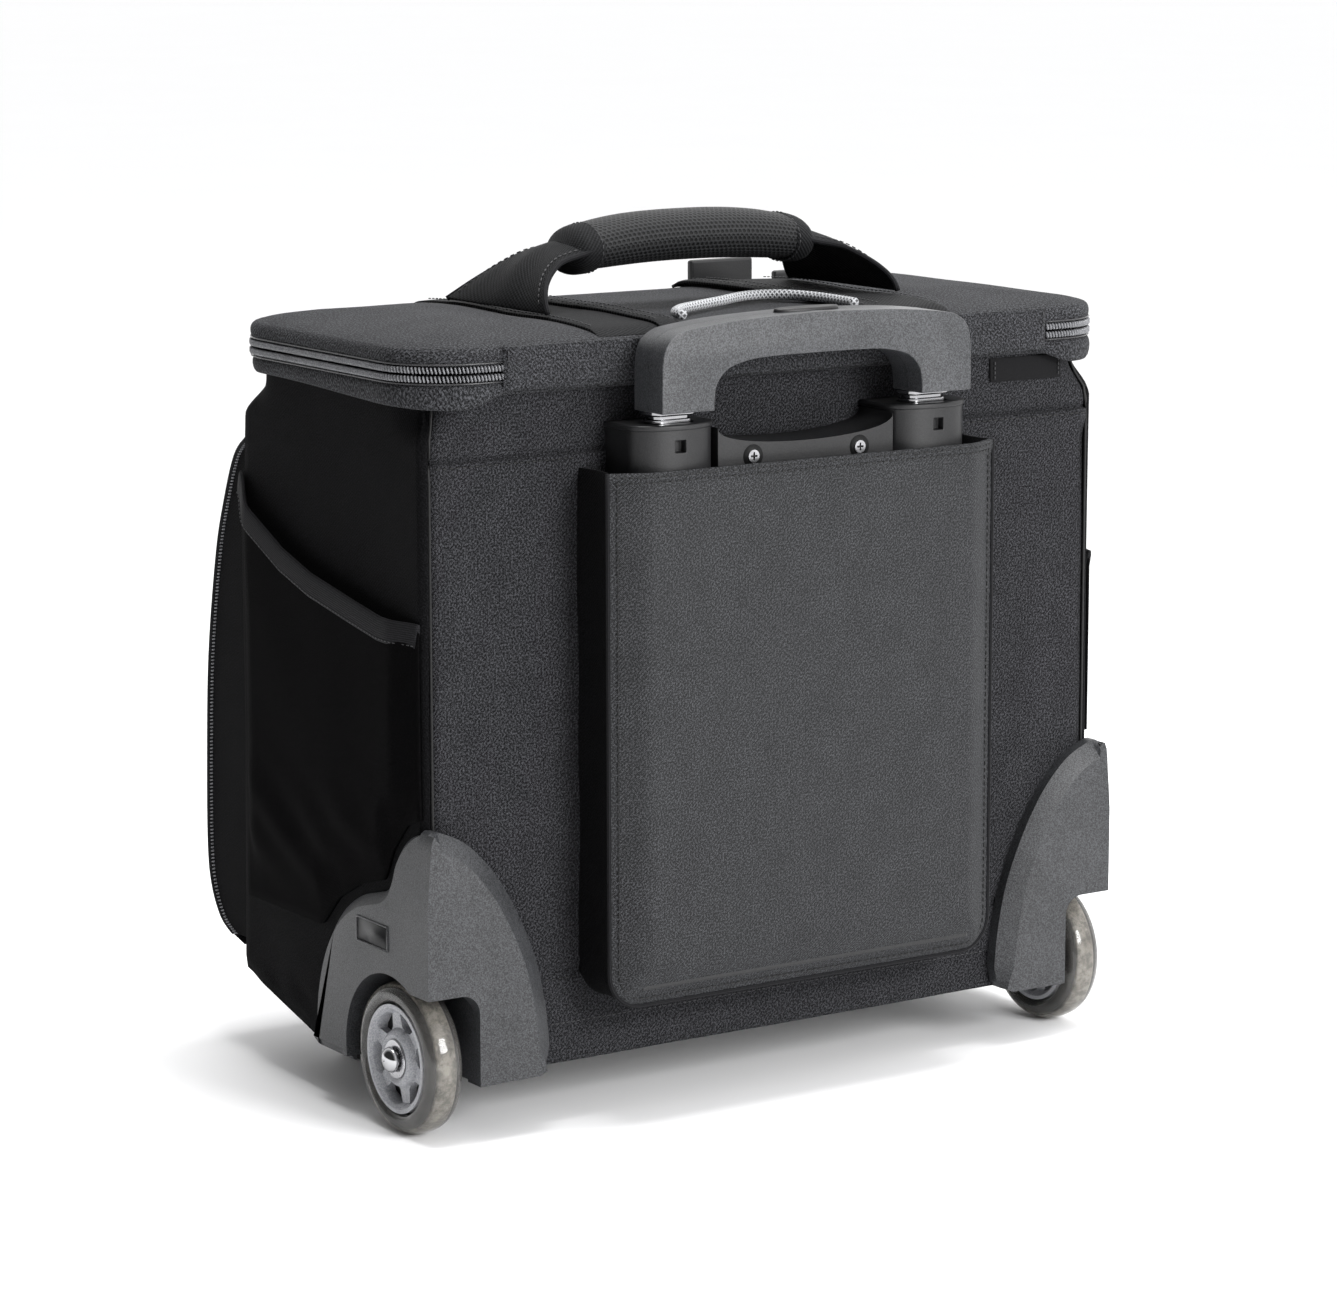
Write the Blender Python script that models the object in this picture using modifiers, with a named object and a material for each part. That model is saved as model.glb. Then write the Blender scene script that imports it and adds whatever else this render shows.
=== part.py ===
"""A rolling flight case: soft body, hinged lid, front pocket, telescopic trolley and two corner wheels.

Frame: metres, +Z up. The trolley and wheels are at the back, +Y. +X is the case's left side as seen
from behind. The origin is on the floor, under the middle of the bounding box. Depths in the functions
below are measured from the back panel's outer face, towards +Y, and `at` moves them into the frame.
"""

import math

import bmesh
import bpy
from mathutils import Matrix, Vector

# ---- driving dimensions, metres -------------------------------------------------------------
BACK = 0.09925  # the back panel's outer face, in Y
GAP = 0.0003  # clearance between pieces that touch

HALF_WIDTH = 0.203
PANEL = 0.006  # thickness of the padded body panels
BODY_TOP = 0.362
BODY_FLOOR = 0.0305
FRONT_TOP = -0.174  # depth of the front bulkhead at its top
FRONT_FOOT = -0.186  # and at its foot
FLOOR_RISE = -0.112  # where the floor starts to rise towards the front
FRONT_FLOOR = 0.050

RIM_TOP = 0.3755
LID_TOP = 0.3930
LID_HALF = 0.209
LID_REAR = 0.009
LID_FRONT = -0.180
LID_CORNER = 0.034
LID_HINGE = (-0.003, 0.3990)

COVER_HALF = 0.199
COVER_HINGE = (-0.2075, 0.0595)

WHEEL_RADIUS = 0.038
WHEEL_WIDTH = 0.022
WHEEL_FACE = 0.2082
AXLE = (-0.0265, 0.038)
WELL_RADIUS = 0.0425
WELL_WALL = 0.1805  # the cheek beside the wheel
WELL_INNER = 0.1705
WELL_FRONT = -0.0745
WELL_TOP = 0.088

TUBE_X = 0.0765
TUBE_Y = 0.0205
COLLAR_TOP = 0.3477
COLLAR_FOOT = 0.3178
SLEEVE_HALF = 0.116
SLEEVE_DEPTH = 0.038
SLEEVE_FOOT = 0.061
SLEEVE_TOP = 0.326
GRIP_FRONT = 0.0155
GRIP_SPLIT = 0.0280
GRIP_REAR = 0.0405

# Outer edge of the front cover and the zip line behind it, (depth, height), top to bottom.
COVER_OUTER = [
    (-0.184, 0.334), (-0.200, 0.323), (-0.213, 0.295), (-0.223, 0.266), (-0.234, 0.209),
    (-0.238, 0.152), (-0.239, 0.105), (-0.235, 0.081), (-0.224, 0.063), (-0.208, 0.055),
]
COVER_INNER = [
    (-0.1805, 0.3265), (-0.193, 0.316), (-0.205, 0.291), (-0.2145, 0.263), (-0.225, 0.2085),
    (-0.229, 0.152), (-0.230, 0.106), (-0.2265, 0.085), (-0.2175, 0.0705), (-0.206, 0.064),
]

# Top edge of the stretch pocket, front to back, and its lower edge round the wheel housing.
POCKET_TOP = [
    (-0.178, 0.310), (-0.160, 0.294), (-0.125, 0.278), (-0.095, 0.269), (-0.057, 0.262),
    (-0.028, 0.257), (-0.003, 0.256),
]
POCKET_FOOT = [
    (-0.003, 0.161), (-0.014, 0.157), (-0.028, 0.142), (-0.036, 0.126), (-0.060, 0.119),
    (-0.082, 0.108), (-0.097, 0.0905), (-0.178, 0.0905),
]
BINDING = 0.013

# Outline of the wheel housing on the side face (depth, height) and on the back face (x, height).
HOUSING_SIDE = [
    (0.0110, 0.1550), (-0.009, 0.1525), (-0.024, 0.138), (-0.031, 0.122), (-0.057, 0.114),
    (-0.078, 0.102), (-0.092, 0.086), (-0.101, 0.066), (-0.104, 0.045), (-0.102, 0.0265),
    (-0.020, 0.0265), (0.0110, 0.0275),
]
HOUSING_BACK = [
    (0.2165, 0.120), (0.212, 0.140), (0.205, 0.156), (0.192, 0.153), (0.176, 0.141), (0.162, 0.123),
    (0.151, 0.103), (0.143, 0.082), (0.139, 0.060), (0.1365, 0.0285), (0.2165, 0.0285),
]

# Half of the grip's outline, (x, height): outer side from the foot up, then the hand opening.
GRIP_OUTER = [(0.0925, 0.354), (0.0925, 0.380), (0.089, 0.388), (0.081, 0.3925), (0.045, 0.3965)]
GRIP_OPENING = [(0.0, 0.3785), (0.040, 0.3775), (0.055, 0.3745), (0.061, 0.368), (0.062, 0.354)]

CORD_RADIUS = 0.0025
CORD_POINTS = [
    (0.050, -0.0060), (0.0475, -0.0160), (0.036, -0.0290), (0.018, -0.0400), (-0.004, -0.0520),
    (-0.024, -0.0640), (-0.040, -0.0670), (-0.050, -0.0590), (-0.0545, -0.0450),
    (-0.0555, -0.0280), (-0.054, -0.0060),
]

# ---- scene ------------------------------------------------------------------------------------
for old in list(bpy.data.objects):
    bpy.data.objects.remove(old)
PARTS = bpy.data.collections.new("flight_case")
CUTTERS = bpy.data.collections.new("cutters")
CUTTERS.hide_render = True
for collection in (PARTS, CUTTERS):
    bpy.context.scene.collection.children.link(collection)


def material(name, colour, roughness, metallic=0.0):
    made = bpy.data.materials.new(name)
    made.use_nodes = True
    shader = made.node_tree.nodes["Principled BSDF"]
    shader.inputs["Base Color"].default_value = (*colour, 1.0)
    shader.inputs["Roughness"].default_value = roughness
    shader.inputs["Metallic"].default_value = metallic
    return made


TWILL = material("twill", (0.030, 0.031, 0.036), 0.85)
NYLON = material("nylon", (0.012, 0.012, 0.013), 0.80)
STRETCH = material("stretch_nylon", (0.006, 0.006, 0.007), 0.90)
COATED = material("coated_fabric", (0.045, 0.046, 0.050), 0.60)
WEBBING = material("webbing", (0.016, 0.016, 0.018), 0.80)
MESH_PAD = material("air_mesh", (0.025, 0.025, 0.027), 0.85)
CORD = material("braided_cord", (0.55, 0.56, 0.57), 0.60)
PLASTIC = material("moulded_plastic", (0.060, 0.062, 0.067), 0.50)
DARK_PLASTIC = material("dark_plastic", (0.018, 0.018, 0.020), 0.45)
CLEAR_TYRE = material("clear_tyre", (0.42, 0.40, 0.36), 0.25)
HUB_GREY = material("hub_grey", (0.40, 0.41, 0.43), 0.35, 0.3)
CHROME = material("chrome", (0.80, 0.80, 0.80), 0.12, 1.0)
ALUMINIUM = material("aluminium", (0.60, 0.60, 0.61), 0.30, 1.0)
FOOT_RUBBER = material("foot_rubber", (0.02, 0.02, 0.02), 0.80)


# ---- modelling helpers ------------------------------------------------------------------------
def at(x, depth, height):
    """A point in the frame, from its depth behind the back panel's outer face."""
    return Vector((x, BACK + depth, height))


def keep(name, mesh, finish, collection=PARTS):
    """Makes an object of a mesh, with flat normals facing out."""
    piece = bpy.data.objects.new(name, mesh)
    collection.objects.link(piece)
    if finish:
        mesh.materials.clear()
        mesh.materials.append(finish)
    if collection is CUTTERS:
        piece.hide_render = True
        piece.display_type = "WIRE"
    return piece


def bevelled(piece, width, segments=2, angle=30):
    if width:
        edge = piece.modifiers.new("Bevel", "BEVEL")
        edge.width = width
        edge.segments = segments
        edge.limit_method = "ANGLE"
        edge.angle_limit = math.radians(angle)
    return piece


def block(name, x, depth, height, finish=None, bevel=0.0, collection=PARTS):
    """A box between two values along each axis."""
    low = at(x[0], depth[0], height[0])
    high = at(x[1], depth[1], height[1])
    size = high - low
    shape = bmesh.new()
    bmesh.ops.create_cube(
        shape, size=1.0, matrix=Matrix.Translation((low + high) / 2) @ Matrix.Diagonal((*size, 1)),
    )
    mesh = bpy.data.meshes.new(name)
    shape.to_mesh(mesh)
    shape.free()
    return bevelled(keep(name, mesh, finish, collection), bevel)


def drum(name, x, depth, height, radius, axis, finish=None, sides=24, collection=PARTS):
    """A cylinder along X or Y: the value given as a pair is its length."""
    pair = x if axis == "X" else depth
    middle = (pair[0] + pair[1]) / 2
    centre = at(middle, depth, height) if axis == "X" else at(x, middle, height)
    turn = Matrix.Rotation(math.pi / 2, 4, "Y" if axis == "X" else "X")
    shape = bmesh.new()
    bmesh.ops.create_cone(
        shape, cap_ends=True, segments=sides, radius1=radius, radius2=radius,
        depth=abs(pair[1] - pair[0]), matrix=Matrix.Translation(centre) @ turn,
    )
    mesh = bpy.data.meshes.new(name)
    shape.to_mesh(mesh)
    shape.free()
    piece = keep(name, mesh, finish, collection)
    mesh.shade_smooth()
    mesh.set_sharp_from_angle(angle=math.radians(40))
    return piece


PLANES = {
    # A flat outline's own X, Y and thickness directions, as world axes.
    "side": Matrix(((0, 0, 1), (1, 0, 0), (0, 1, 0))).to_4x4(),
    "back": Matrix(((1, 0, 0), (0, 0, -1), (0, 1, 0))).to_4x4(),
    "plan": Matrix.Identity(4),
}


def plate(name, outline, plane, span, finish=None, bevel=0.0, collection=PARTS):
    """A flat outline made thick between two values along the axis that its plane leaves free.

    Side outlines are (depth, height), back outlines (x, height) and plan outlines (x, depth).
    """
    curve = bpy.data.curves.new(name, "CURVE")
    curve.dimensions = "2D"
    curve.fill_mode = "BOTH"
    curve.extrude = (span[1] - span[0]) / 2
    spline = curve.splines.new("POLY")
    spline.points.add(len(outline) - 1)
    spline.use_cyclic_u = True
    for point, (across, up) in zip(spline.points, outline):
        point.co = (across, up, 0, 1)
    guide = bpy.data.objects.new(name + "_guide", curve)
    CUTTERS.objects.link(guide)
    middle = (span[0] + span[1]) / 2
    offset = {"side": at(middle, 0, 0), "back": at(0, middle, 0), "plan": at(0, 0, middle)}[plane]
    place = Matrix.Translation(offset) @ PLANES[plane]
    graph = bpy.context.evaluated_depsgraph_get()
    mesh = bpy.data.meshes.new_from_object(guide.evaluated_get(graph))
    bpy.data.objects.remove(guide)
    shape = bmesh.new()
    shape.from_mesh(mesh)
    bmesh.ops.remove_doubles(shape, verts=shape.verts, dist=1e-6)
    bmesh.ops.transform(shape, matrix=place, verts=shape.verts)
    bmesh.ops.dissolve_limit(shape, angle_limit=0.01, verts=shape.verts, edges=shape.edges)
    bmesh.ops.recalc_face_normals(shape, faces=shape.faces)
    shape.to_mesh(mesh)
    shape.free()
    return bevelled(keep(name, mesh, finish, collection), bevel)


def turned(name, profile, x, finish, steps=32):
    """A shape turned about the axle line: profile points are (distance along X, radius)."""
    mesh = bpy.data.meshes.new(name)
    shape = bmesh.new()
    points = [shape.verts.new((radius, 0, along)) for along, radius in profile]
    for first, second in zip(points, points[1:] + points[:1]):
        shape.edges.new((first, second))
    shape.to_mesh(mesh)
    shape.free()
    piece = keep(name, mesh, finish)
    spin = piece.modifiers.new("Screw", "SCREW")
    spin.axis = "Z"
    spin.steps = steps
    spin.render_steps = steps
    spin.use_merge_vertices = True
    spin.merge_threshold = 0.00001
    spin.use_smooth_shade = True
    piece.matrix_world = Matrix.Translation(at(x, *AXLE)) @ Matrix.Rotation(math.pi / 2, 4, "Y")
    return piece


def boolean(piece, other, operation):
    step = piece.modifiers.new(operation.title(), "BOOLEAN")
    step.operation = operation
    step.object = other
    return piece


def cut(piece, *others):
    for other in others:
        boolean(piece, other, "DIFFERENCE")
    return piece


def join(piece, *others):
    for other in others:
        boolean(piece, other, "UNION")
    return piece


def finished(piece):
    """Applies the piece's modifiers, so that a bevel can follow the cuts."""
    graph = bpy.context.evaluated_depsgraph_get()
    mesh = bpy.data.meshes.new_from_object(piece.evaluated_get(graph))
    piece.modifiers.clear()
    piece.data = mesh
    return piece


def pivot(name, x, depth, height):
    """An empty on a joint's axis, which carries the pieces that move about it."""
    empty = bpy.data.objects.new(name, None)
    empty.empty_display_size = 0.02
    empty.location = at(x, depth, height)
    PARTS.objects.link(empty)
    return empty


def carried(empty, *pieces):
    for piece in pieces:
        piece.parent = empty
        piece.matrix_parent_inverse = Matrix.Translation(-empty.location)


def side_name(side):
    return "left" if side > 0 else "right"


def both(side, near, far):
    """A pair of X values on one side, low value first."""
    return tuple(sorted((side * near, side * far)))


def mirrored(outline, side):
    return [(side * across, up) for across, up in outline]


def rounded_outline(half, rear, front, radius, steps=5):
    """A plan outline, (x, depth), of a rectangle with round corners."""
    corners = (
        (half - radius, rear - radius, 0), (radius - half, rear - radius, 90),
        (radius - half, front + radius, 180), (half - radius, front + radius, 270),
    )
    outline = []
    for x, depth, start in corners:
        for step in range(steps + 1):
            angle = math.radians(start + 90 * step / steps)
            outline.append((x + radius * math.cos(angle), depth + radius * math.sin(angle)))
    return outline


# ---- body -------------------------------------------------------------------------------------
def wheel_well_cutter(side):
    """The space that a wheel housing takes out of the body panels' corner."""
    return block(
        f"well_space_{side_name(side)}", both(side, WELL_INNER - GAP, 0.24),
        (WELL_FRONT - GAP, 0.05), (0.0, WELL_TOP + GAP), collection=CUTTERS,
    )


def make_body():
    wells = [wheel_well_cutter(side) for side in (1, -1)]
    inner = HALF_WIDTH - PANEL - GAP
    back = block("back_panel", (-inner, inner), (-PANEL, 0), (BODY_FLOOR, BODY_TOP), TWILL)
    cut(back, *wells)
    side_outline = [
        (0, BODY_FLOOR), (0, BODY_TOP), (FRONT_TOP, BODY_TOP), (FRONT_FOOT, FRONT_FLOOR),
        (FLOOR_RISE, BODY_FLOOR),
    ]
    for side, well in zip((1, -1), wells):
        name = f"side_panel_{side_name(side)}"
        cut(plate(name, side_outline, "side", both(side, HALF_WIDTH - PANEL, HALF_WIDTH), NYLON), well)
    lean = (FRONT_FOOT - FRONT_TOP) / (FRONT_FLOOR - BODY_TOP)

    def bulkhead_depth(height):
        return FRONT_TOP + lean * (height - BODY_TOP)

    foot = FRONT_FLOOR + PANEL
    bulkhead = [
        (bulkhead_depth(BODY_TOP), BODY_TOP), (bulkhead_depth(foot), foot),
        (bulkhead_depth(foot) + PANEL, foot), (bulkhead_depth(BODY_TOP) + PANEL, BODY_TOP),
    ]
    plate("front_bulkhead", bulkhead, "side", (-inner, inner), NYLON)
    sheet = 0.005
    base = [
        (-PANEL - GAP, BODY_FLOOR), (FLOOR_RISE, BODY_FLOOR), (FRONT_FOOT + GAP, FRONT_FLOOR),
        (FRONT_FOOT + GAP, FRONT_FLOOR + sheet), (FLOOR_RISE, BODY_FLOOR + sheet),
        (-PANEL - GAP, BODY_FLOOR + sheet),
    ]
    cut(plate("base_panel", base, "side", (-inner, inner), NYLON), *wells)
    rim = plate(
        "rim_band", rounded_outline(LID_HALF, LID_REAR, LID_FRONT, LID_CORNER), "plan",
        (BODY_TOP + GAP, RIM_TOP), NYLON,
    )
    mouth = plate(
        "rim_mouth", rounded_outline(0.194, -0.009, -0.166, 0.008, 3), "plan",
        (BODY_TOP - 0.01, RIM_TOP + 0.01), collection=CUTTERS,
    )
    swing_room = block(
        "lid_swing_room", (-0.22, 0.22), (-0.0095, 0.02), (RIM_TOP - 0.003, RIM_TOP + 0.01),
        collection=CUTTERS,
    )
    cut(rim, mouth, swing_room)
    block(
        "padded_divider", (-inner + GAP, inner - GAP), (-0.0950, -0.0890),
        (BODY_FLOOR + sheet + GAP, 0.330),
        NYLON, 0.002,
    )
    block("blank_tag", (-0.181, -0.134), (GAP, 0.0016), (0.3505, BODY_TOP), NYLON)


def make_side_pocket(side):
    """A stretch panel held off the side, open along its top edge."""
    name = side_name(side)
    top = [(depth, height - GAP) for depth, height in POCKET_TOP]
    near, far = HALF_WIDTH + GAP, HALF_WIDTH + 0.0075
    pocket = plate(f"side_pocket_{name}", top + POCKET_FOOT, "side", both(side, near, far), STRETCH)
    hollow = [
        (-0.174, 0.330), (-0.0065, 0.330), (-0.0065, 0.165), (-0.018, 0.160), (-0.032, 0.145),
        (-0.040, 0.130), (-0.062, 0.123), (-0.086, 0.112), (-0.099, 0.0945), (-0.174, 0.0945),
    ]
    space = plate(
        f"pocket_space_{name}", hollow, "side", both(side, near - 0.01, far - 0.0017),
        collection=CUTTERS,
    )
    cut(pocket, space)
    band = POCKET_TOP + [(depth, height + BINDING) for depth, height in reversed(POCKET_TOP)]
    plate(f"pocket_binding_{name}", band, "side", both(side, far - 0.0017, far + 0.0008), WEBBING)


# ---- front pocket -----------------------------------------------------------------------------
def make_front_pocket():
    top_depth, foot_depth = -0.1758, -0.1858
    tray = [(top_depth, COVER_INNER[0][1])] + COVER_INNER + [(foot_depth, COVER_INNER[-1][1])]
    ring = plate("front_tray", tray, "side", (-COVER_HALF, COVER_HALF), NYLON)
    hollow = block(
        "tray_space", (0.0035 - COVER_HALF, COVER_HALF - 0.0035), (-0.26, -0.16), (0.069, 0.3185),
        collection=CUTTERS,
    )
    cut(ring, hollow)
    inner = [
        (depth - GAP, height + GAP * (1 if height > 0.2 else -1))
        for depth, height in reversed(COVER_INNER)
    ]
    cover = plate("front_cover", COVER_OUTER + inner, "side", (-COVER_HALF, COVER_HALF), NYLON)
    hinge = pivot("cover_hinge", 0, *COVER_HINGE)
    carried(hinge, cover)
    for side in (1, -1):
        name = side_name(side)
        x = side * 0.009
        body = block(
            f"front_slider_{name}", (x - 0.0055, x + 0.0055), (-0.1798, -0.1762), (0.3270, 0.3345),
            ALUMINIUM,
        )
        runner = pivot(f"front_slide_{name}", x, -0.1780, 0.331)
        pull = block(
            f"front_pull_{name}", both(side, 0.0042, 0.0350), (-0.1818, -0.1766), (0.3355, 0.3373),
            DARK_PLASTIC,
        )
        swing = pivot(f"front_pull_hinge_{name}", side * 0.0050, -0.1790, 0.3362)
        carried(runner, body, swing)
        swing.matrix_parent_inverse = Matrix.Translation(-runner.location)
        carried(swing, pull)


# ---- lid --------------------------------------------------------------------------------------
def make_lid():
    hinge = pivot("lid_hinge", 0, *LID_HINGE)
    outline = rounded_outline(LID_HALF, LID_REAR, LID_FRONT, LID_CORNER)
    lid = bevelled(plate("lid_panel", outline, "plan", (RIM_TOP + GAP, LID_TOP), TWILL), 0.006, 2, 60)
    carried(hinge, lid)
    strap_top = LID_TOP + GAP + 0.0018
    for side in (1, -1):
        name = side_name(side)
        strap = block(
            f"lid_strap_{name}", both(side, 0.060, 0.106), (-0.170, -0.001),
            (LID_TOP + GAP, strap_top), WEBBING,
        )
        foot = strap_top + GAP
        arch = [
            (0.1045, foot), (0.1045, foot + 0.003), (0.096, foot + 0.0045), (0.086, foot + 0.014),
            (0.079, foot + 0.024), (0.0733, foot + 0.0300), (0.0733, foot + 0.0255), (0.0765, foot + 0.022),
            (0.083, foot + 0.012), (0.091, foot),
        ]
        webbing = plate(f"grab_strap_{name}", mirrored(arch, side), "back", (-0.106, -0.058), WEBBING)
        carried(hinge, strap, webbing)
    crown = [(0.073, 0.4125), (0.073, 0.4290), (0.060, 0.4360), (0.035, 0.4405), (0.0, 0.4415)]
    under = [(0.0, 0.4145), (0.035, 0.4140), (0.060, 0.4120)]
    left = [(-x, height) for x, height in reversed(crown[:-1])]
    under_left = [(-x, height) for x, height in reversed(under[1:])]
    pad_outline = crown + left + under_left + under
    pad = bevelled(plate("grab_pad", pad_outline, "back", (-0.102, -0.062), MESH_PAD), 0.008, 2, 60)
    carried(hinge, pad, make_cord())
    make_lid_slider(1, -0.1125, 0.4030)
    make_lid_slider(-1, -0.1275, 0.3945)


def make_lid_slider(side, x, tab_top):
    """A zip slider on the straight front run of the lid's zip, with its pull lying along the edge."""
    name = side_name(side)
    face = LID_FRONT - GAP
    body = block(
        f"lid_slider_{name}", (x - 0.0055, x + 0.0055), (face - 0.0045, face), (0.371, 0.3845),
        ALUMINIUM,
    )
    runner = pivot(f"lid_slide_{name}", x, face - 0.002, 0.378)
    hinge_height = 0.3865
    tab = block(
        f"lid_pull_{name}", both(1, x, x + side * 0.040), (face - 0.0060, face - 0.0010),
        (hinge_height - 0.0017, tab_top), DARK_PLASTIC, 0.0015,
    )
    swing = pivot(f"lid_pull_hinge_{name}", x, face - 0.0035, hinge_height)
    carried(runner, body, swing)
    carried(swing, tab)


def make_cord():
    """A short braided cord, sewn into the lid's rear seam at both ends, lying on the lid."""
    curve = bpy.data.curves.new("cord_loop", "CURVE")
    curve.dimensions = "3D"
    curve.bevel_depth = CORD_RADIUS
    curve.bevel_resolution = 2
    curve.use_fill_caps = True
    spline = curve.splines.new("POLY")
    route = smooth_route(CORD_POINTS, 3)
    spline.points.add(len(route) - 1)
    for point, (x, depth) in zip(spline.points, route):
        point.co = (*at(x, depth, LID_TOP + CORD_RADIUS + GAP), 1)
    cord = bpy.data.objects.new("cord_loop", curve)
    curve.materials.append(CORD)
    PARTS.objects.link(cord)
    return cord


def smooth_route(points, steps):
    """Points along a Catmull-Rom curve through the given ones."""
    ends = [points[0]] + list(points) + [points[-1]]
    route = []
    for start in range(len(points) - 1):
        before, first, second, after = (Vector(ends[start + step]) for step in range(4))
        for step in range(steps):
            t = step / steps
            route.append(
                first + (second - before) * t / 2
                + (before * 2 - first * 5 + second * 4 - after) * t**2 / 2
                + (first * 3 - before - second * 3 + after) * t**3 / 2
            )
    return [*route, Vector(points[-1])]


# ---- trolley ----------------------------------------------------------------------------------
def tube(name, x, width, thickness, wall, height, finish):
    """A hollow rectangular tube, open at both ends."""
    half, deep = width / 2, thickness / 2
    piece = block(name, (x - half, x + half), (TUBE_Y - deep, TUBE_Y + deep), height, finish)
    bore = block(
        name + "_bore", (x - half + wall, x + half - wall), (TUBE_Y - deep + wall, TUBE_Y + deep - wall),
        (height[0] - 0.01, height[1] + 0.01), collection=CUTTERS,
    )
    return cut(piece, bore)


def make_sleeve():
    corner = 0.018
    outline = [(SLEEVE_HALF, SLEEVE_TOP), (-SLEEVE_HALF, SLEEVE_TOP)]
    for start, x in ((180, corner - SLEEVE_HALF), (270, SLEEVE_HALF - corner)):
        for step in range(5):
            angle = math.radians(start + 90 * step / 4)
            outline.append((x + corner * math.cos(angle), SLEEVE_FOOT + corner + corner * math.sin(angle)))
    sleeve = plate("trolley_sleeve", outline, "back", (GAP, SLEEVE_DEPTH), COATED)
    wall = 0.002
    space = block(
        "sleeve_space", (wall - SLEEVE_HALF, SLEEVE_HALF - wall), (-0.01, SLEEVE_DEPTH - wall),
        (SLEEVE_FOOT + corner - 0.010, SLEEVE_TOP + 0.02), collection=CUTTERS,
    )
    cut(sleeve, space)


def make_trolley_base():
    bracket_top = 0.0835
    block("tube_bracket", (-0.100, 0.100), (GAP, 0.033), (0.0695, bracket_top), DARK_PLASTIC, 0.001)
    for side in (1, -1):
        name = side_name(side)
        x = side * TUBE_X
        tube(
            f"outer_tube_{name}", x, 0.0270, 0.0170, 0.0012, (bracket_top + GAP, COLLAR_FOOT - GAP),
            ALUMINIUM,
        )
        collar = block(
            f"tube_collar_{name}", (x - 0.0235, x + 0.0235), (GAP, 0.0340), (COLLAR_FOOT, COLLAR_TOP),
            DARK_PLASTIC, 0.006,
        )
        hole = block(
            f"collar_hole_{name}", (x - 0.0120, x + 0.0120), (TUBE_Y - 0.0071, TUBE_Y + 0.0071),
            (COLLAR_FOOT - 0.01, COLLAR_TOP + 0.01), collection=CUTTERS,
        )
        cut(collar, hole)
    half = TUBE_X - 0.0235 - GAP
    scoop = [(half, 0.3440), (half * 0.8, 0.3400), (half * 0.45, 0.3350), (0.0, 0.3335)]
    top = scoop + [(-x, height) for x, height in reversed(scoop[:-1])]
    bridge = plate(
        "collar_bridge", top + [(-half, 0.3190), (half, 0.3190)], "back", (GAP, 0.0290), DARK_PLASTIC,
    )
    for side in (1, -1):
        name = side_name(side)
        recess = drum(
            f"recess_{name}", side * 0.0320, (0.0250, 0.035), 0.3285, 0.0050, "Y", sides=16,
            collection=CUTTERS,
        )
        cut(bridge, recess)
        drum(f"bridge_screw_{name}", side * 0.0320, (0.0253, 0.0275), 0.3285, 0.0036, "Y", CHROME, 16)


def make_trolley_stages():
    middle = pivot("trolley_middle_slide", 0, TUBE_Y, 0.345)
    top = pivot("trolley_top_slide", 0, TUBE_Y, 0.350)
    carried(middle, top)
    for side in (1, -1):
        name = side_name(side)
        x = side * TUBE_X
        carried(middle, tube(f"middle_tube_{name}", x, 0.0232, 0.0136, 0.0010, (0.0860, 0.3495), CHROME))
        carried(top, tube(f"inner_tube_{name}", x, 0.0204, 0.0108, 0.0010, (0.0890, 0.3660), CHROME))
    make_grip(top)


def make_grip(top):
    left = [(-x, height) for x, height in reversed(GRIP_OUTER)]
    opening = [(-x, height) for x, height in reversed(GRIP_OPENING[1:])]
    outline = GRIP_OUTER + [(0.0, 0.3985)] + left + opening + GRIP_OPENING
    spaces = []
    for side in (1, -1):
        name = side_name(side)
        x = side * TUBE_X
        spaces.append(block(
            f"tube_socket_{name}", (x - 0.0106, x + 0.0106), (TUBE_Y - 0.0058, TUBE_Y + 0.0058),
            (0.34, 0.3665),
            collection=CUTTERS,
        ))
        spaces.append(block(
            f"rod_space_{name}", (x - 0.0040, x + 0.0040), (TUBE_Y - 0.0025, TUBE_Y + 0.0040),
            (0.36, 0.3850),
            collection=CUTTERS,
        ))
    spaces.append(block(
        "bar_space", (-0.0805, 0.0805), (TUBE_Y - 0.0025, TUBE_Y + 0.0040), (0.3815, 0.3880),
        collection=CUTTERS,
    ))
    well = button_solid("button_space", 0.0005, (0.3830, 0.41), CUTTERS)
    spaces.append(well)
    halves = {"grip_front": (GRIP_FRONT, GRIP_SPLIT - GAP), "grip_rear": (GRIP_SPLIT, GRIP_REAR)}
    for name, span in halves.items():
        shell = plate(name, outline, "back", span, PLASTIC)
        face = span[1] if name == "grip_rear" else span[0]
        soften_face(shell, BACK + face, 0.005)
        cut(shell, *spaces)
        carried(top, shell)
    press = pivot("release_press", 0, GRIP_SPLIT, 0.395)
    carried(top, press)
    button = button_solid("release_button", 0.0, (0.3878, 0.3998), PARTS, DARK_PLASTIC)
    fork = block(
        "release_fork", (-0.0795, 0.0795), (TUBE_Y - 0.0020, TUBE_Y + 0.0035), (0.3845, 0.3875),
        ALUMINIUM,
    )
    rods = [
        block(
            f"release_rod_{side_name(side)}", (side * TUBE_X - 0.0030, side * TUBE_X + 0.0030),
            (TUBE_Y - 0.0015, TUBE_Y + 0.0015), (0.1200, 0.3860), collection=CUTTERS,
        )
        for side in (1, -1)
    ]
    join(fork, *rods)
    carried(press, button, fork)


def soften_face(shell, y, width):
    """Bevels the outline's edges on one face only."""
    shape = bmesh.new()
    shape.from_mesh(shell.data)
    edges = [
        edge for edge in shape.edges
        if all(abs(vertex.co.y - y) < 1e-5 for vertex in edge.verts) and len(edge.link_faces) == 2
        and edge.calc_face_angle() > 0.5
    ]
    bmesh.ops.bevel(
        shape, geom=edges, offset=width, segments=2, profile=0.5, affect="EDGES", clamp_overlap=True,
    )
    shape.to_mesh(shell.data)
    shape.free()


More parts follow.
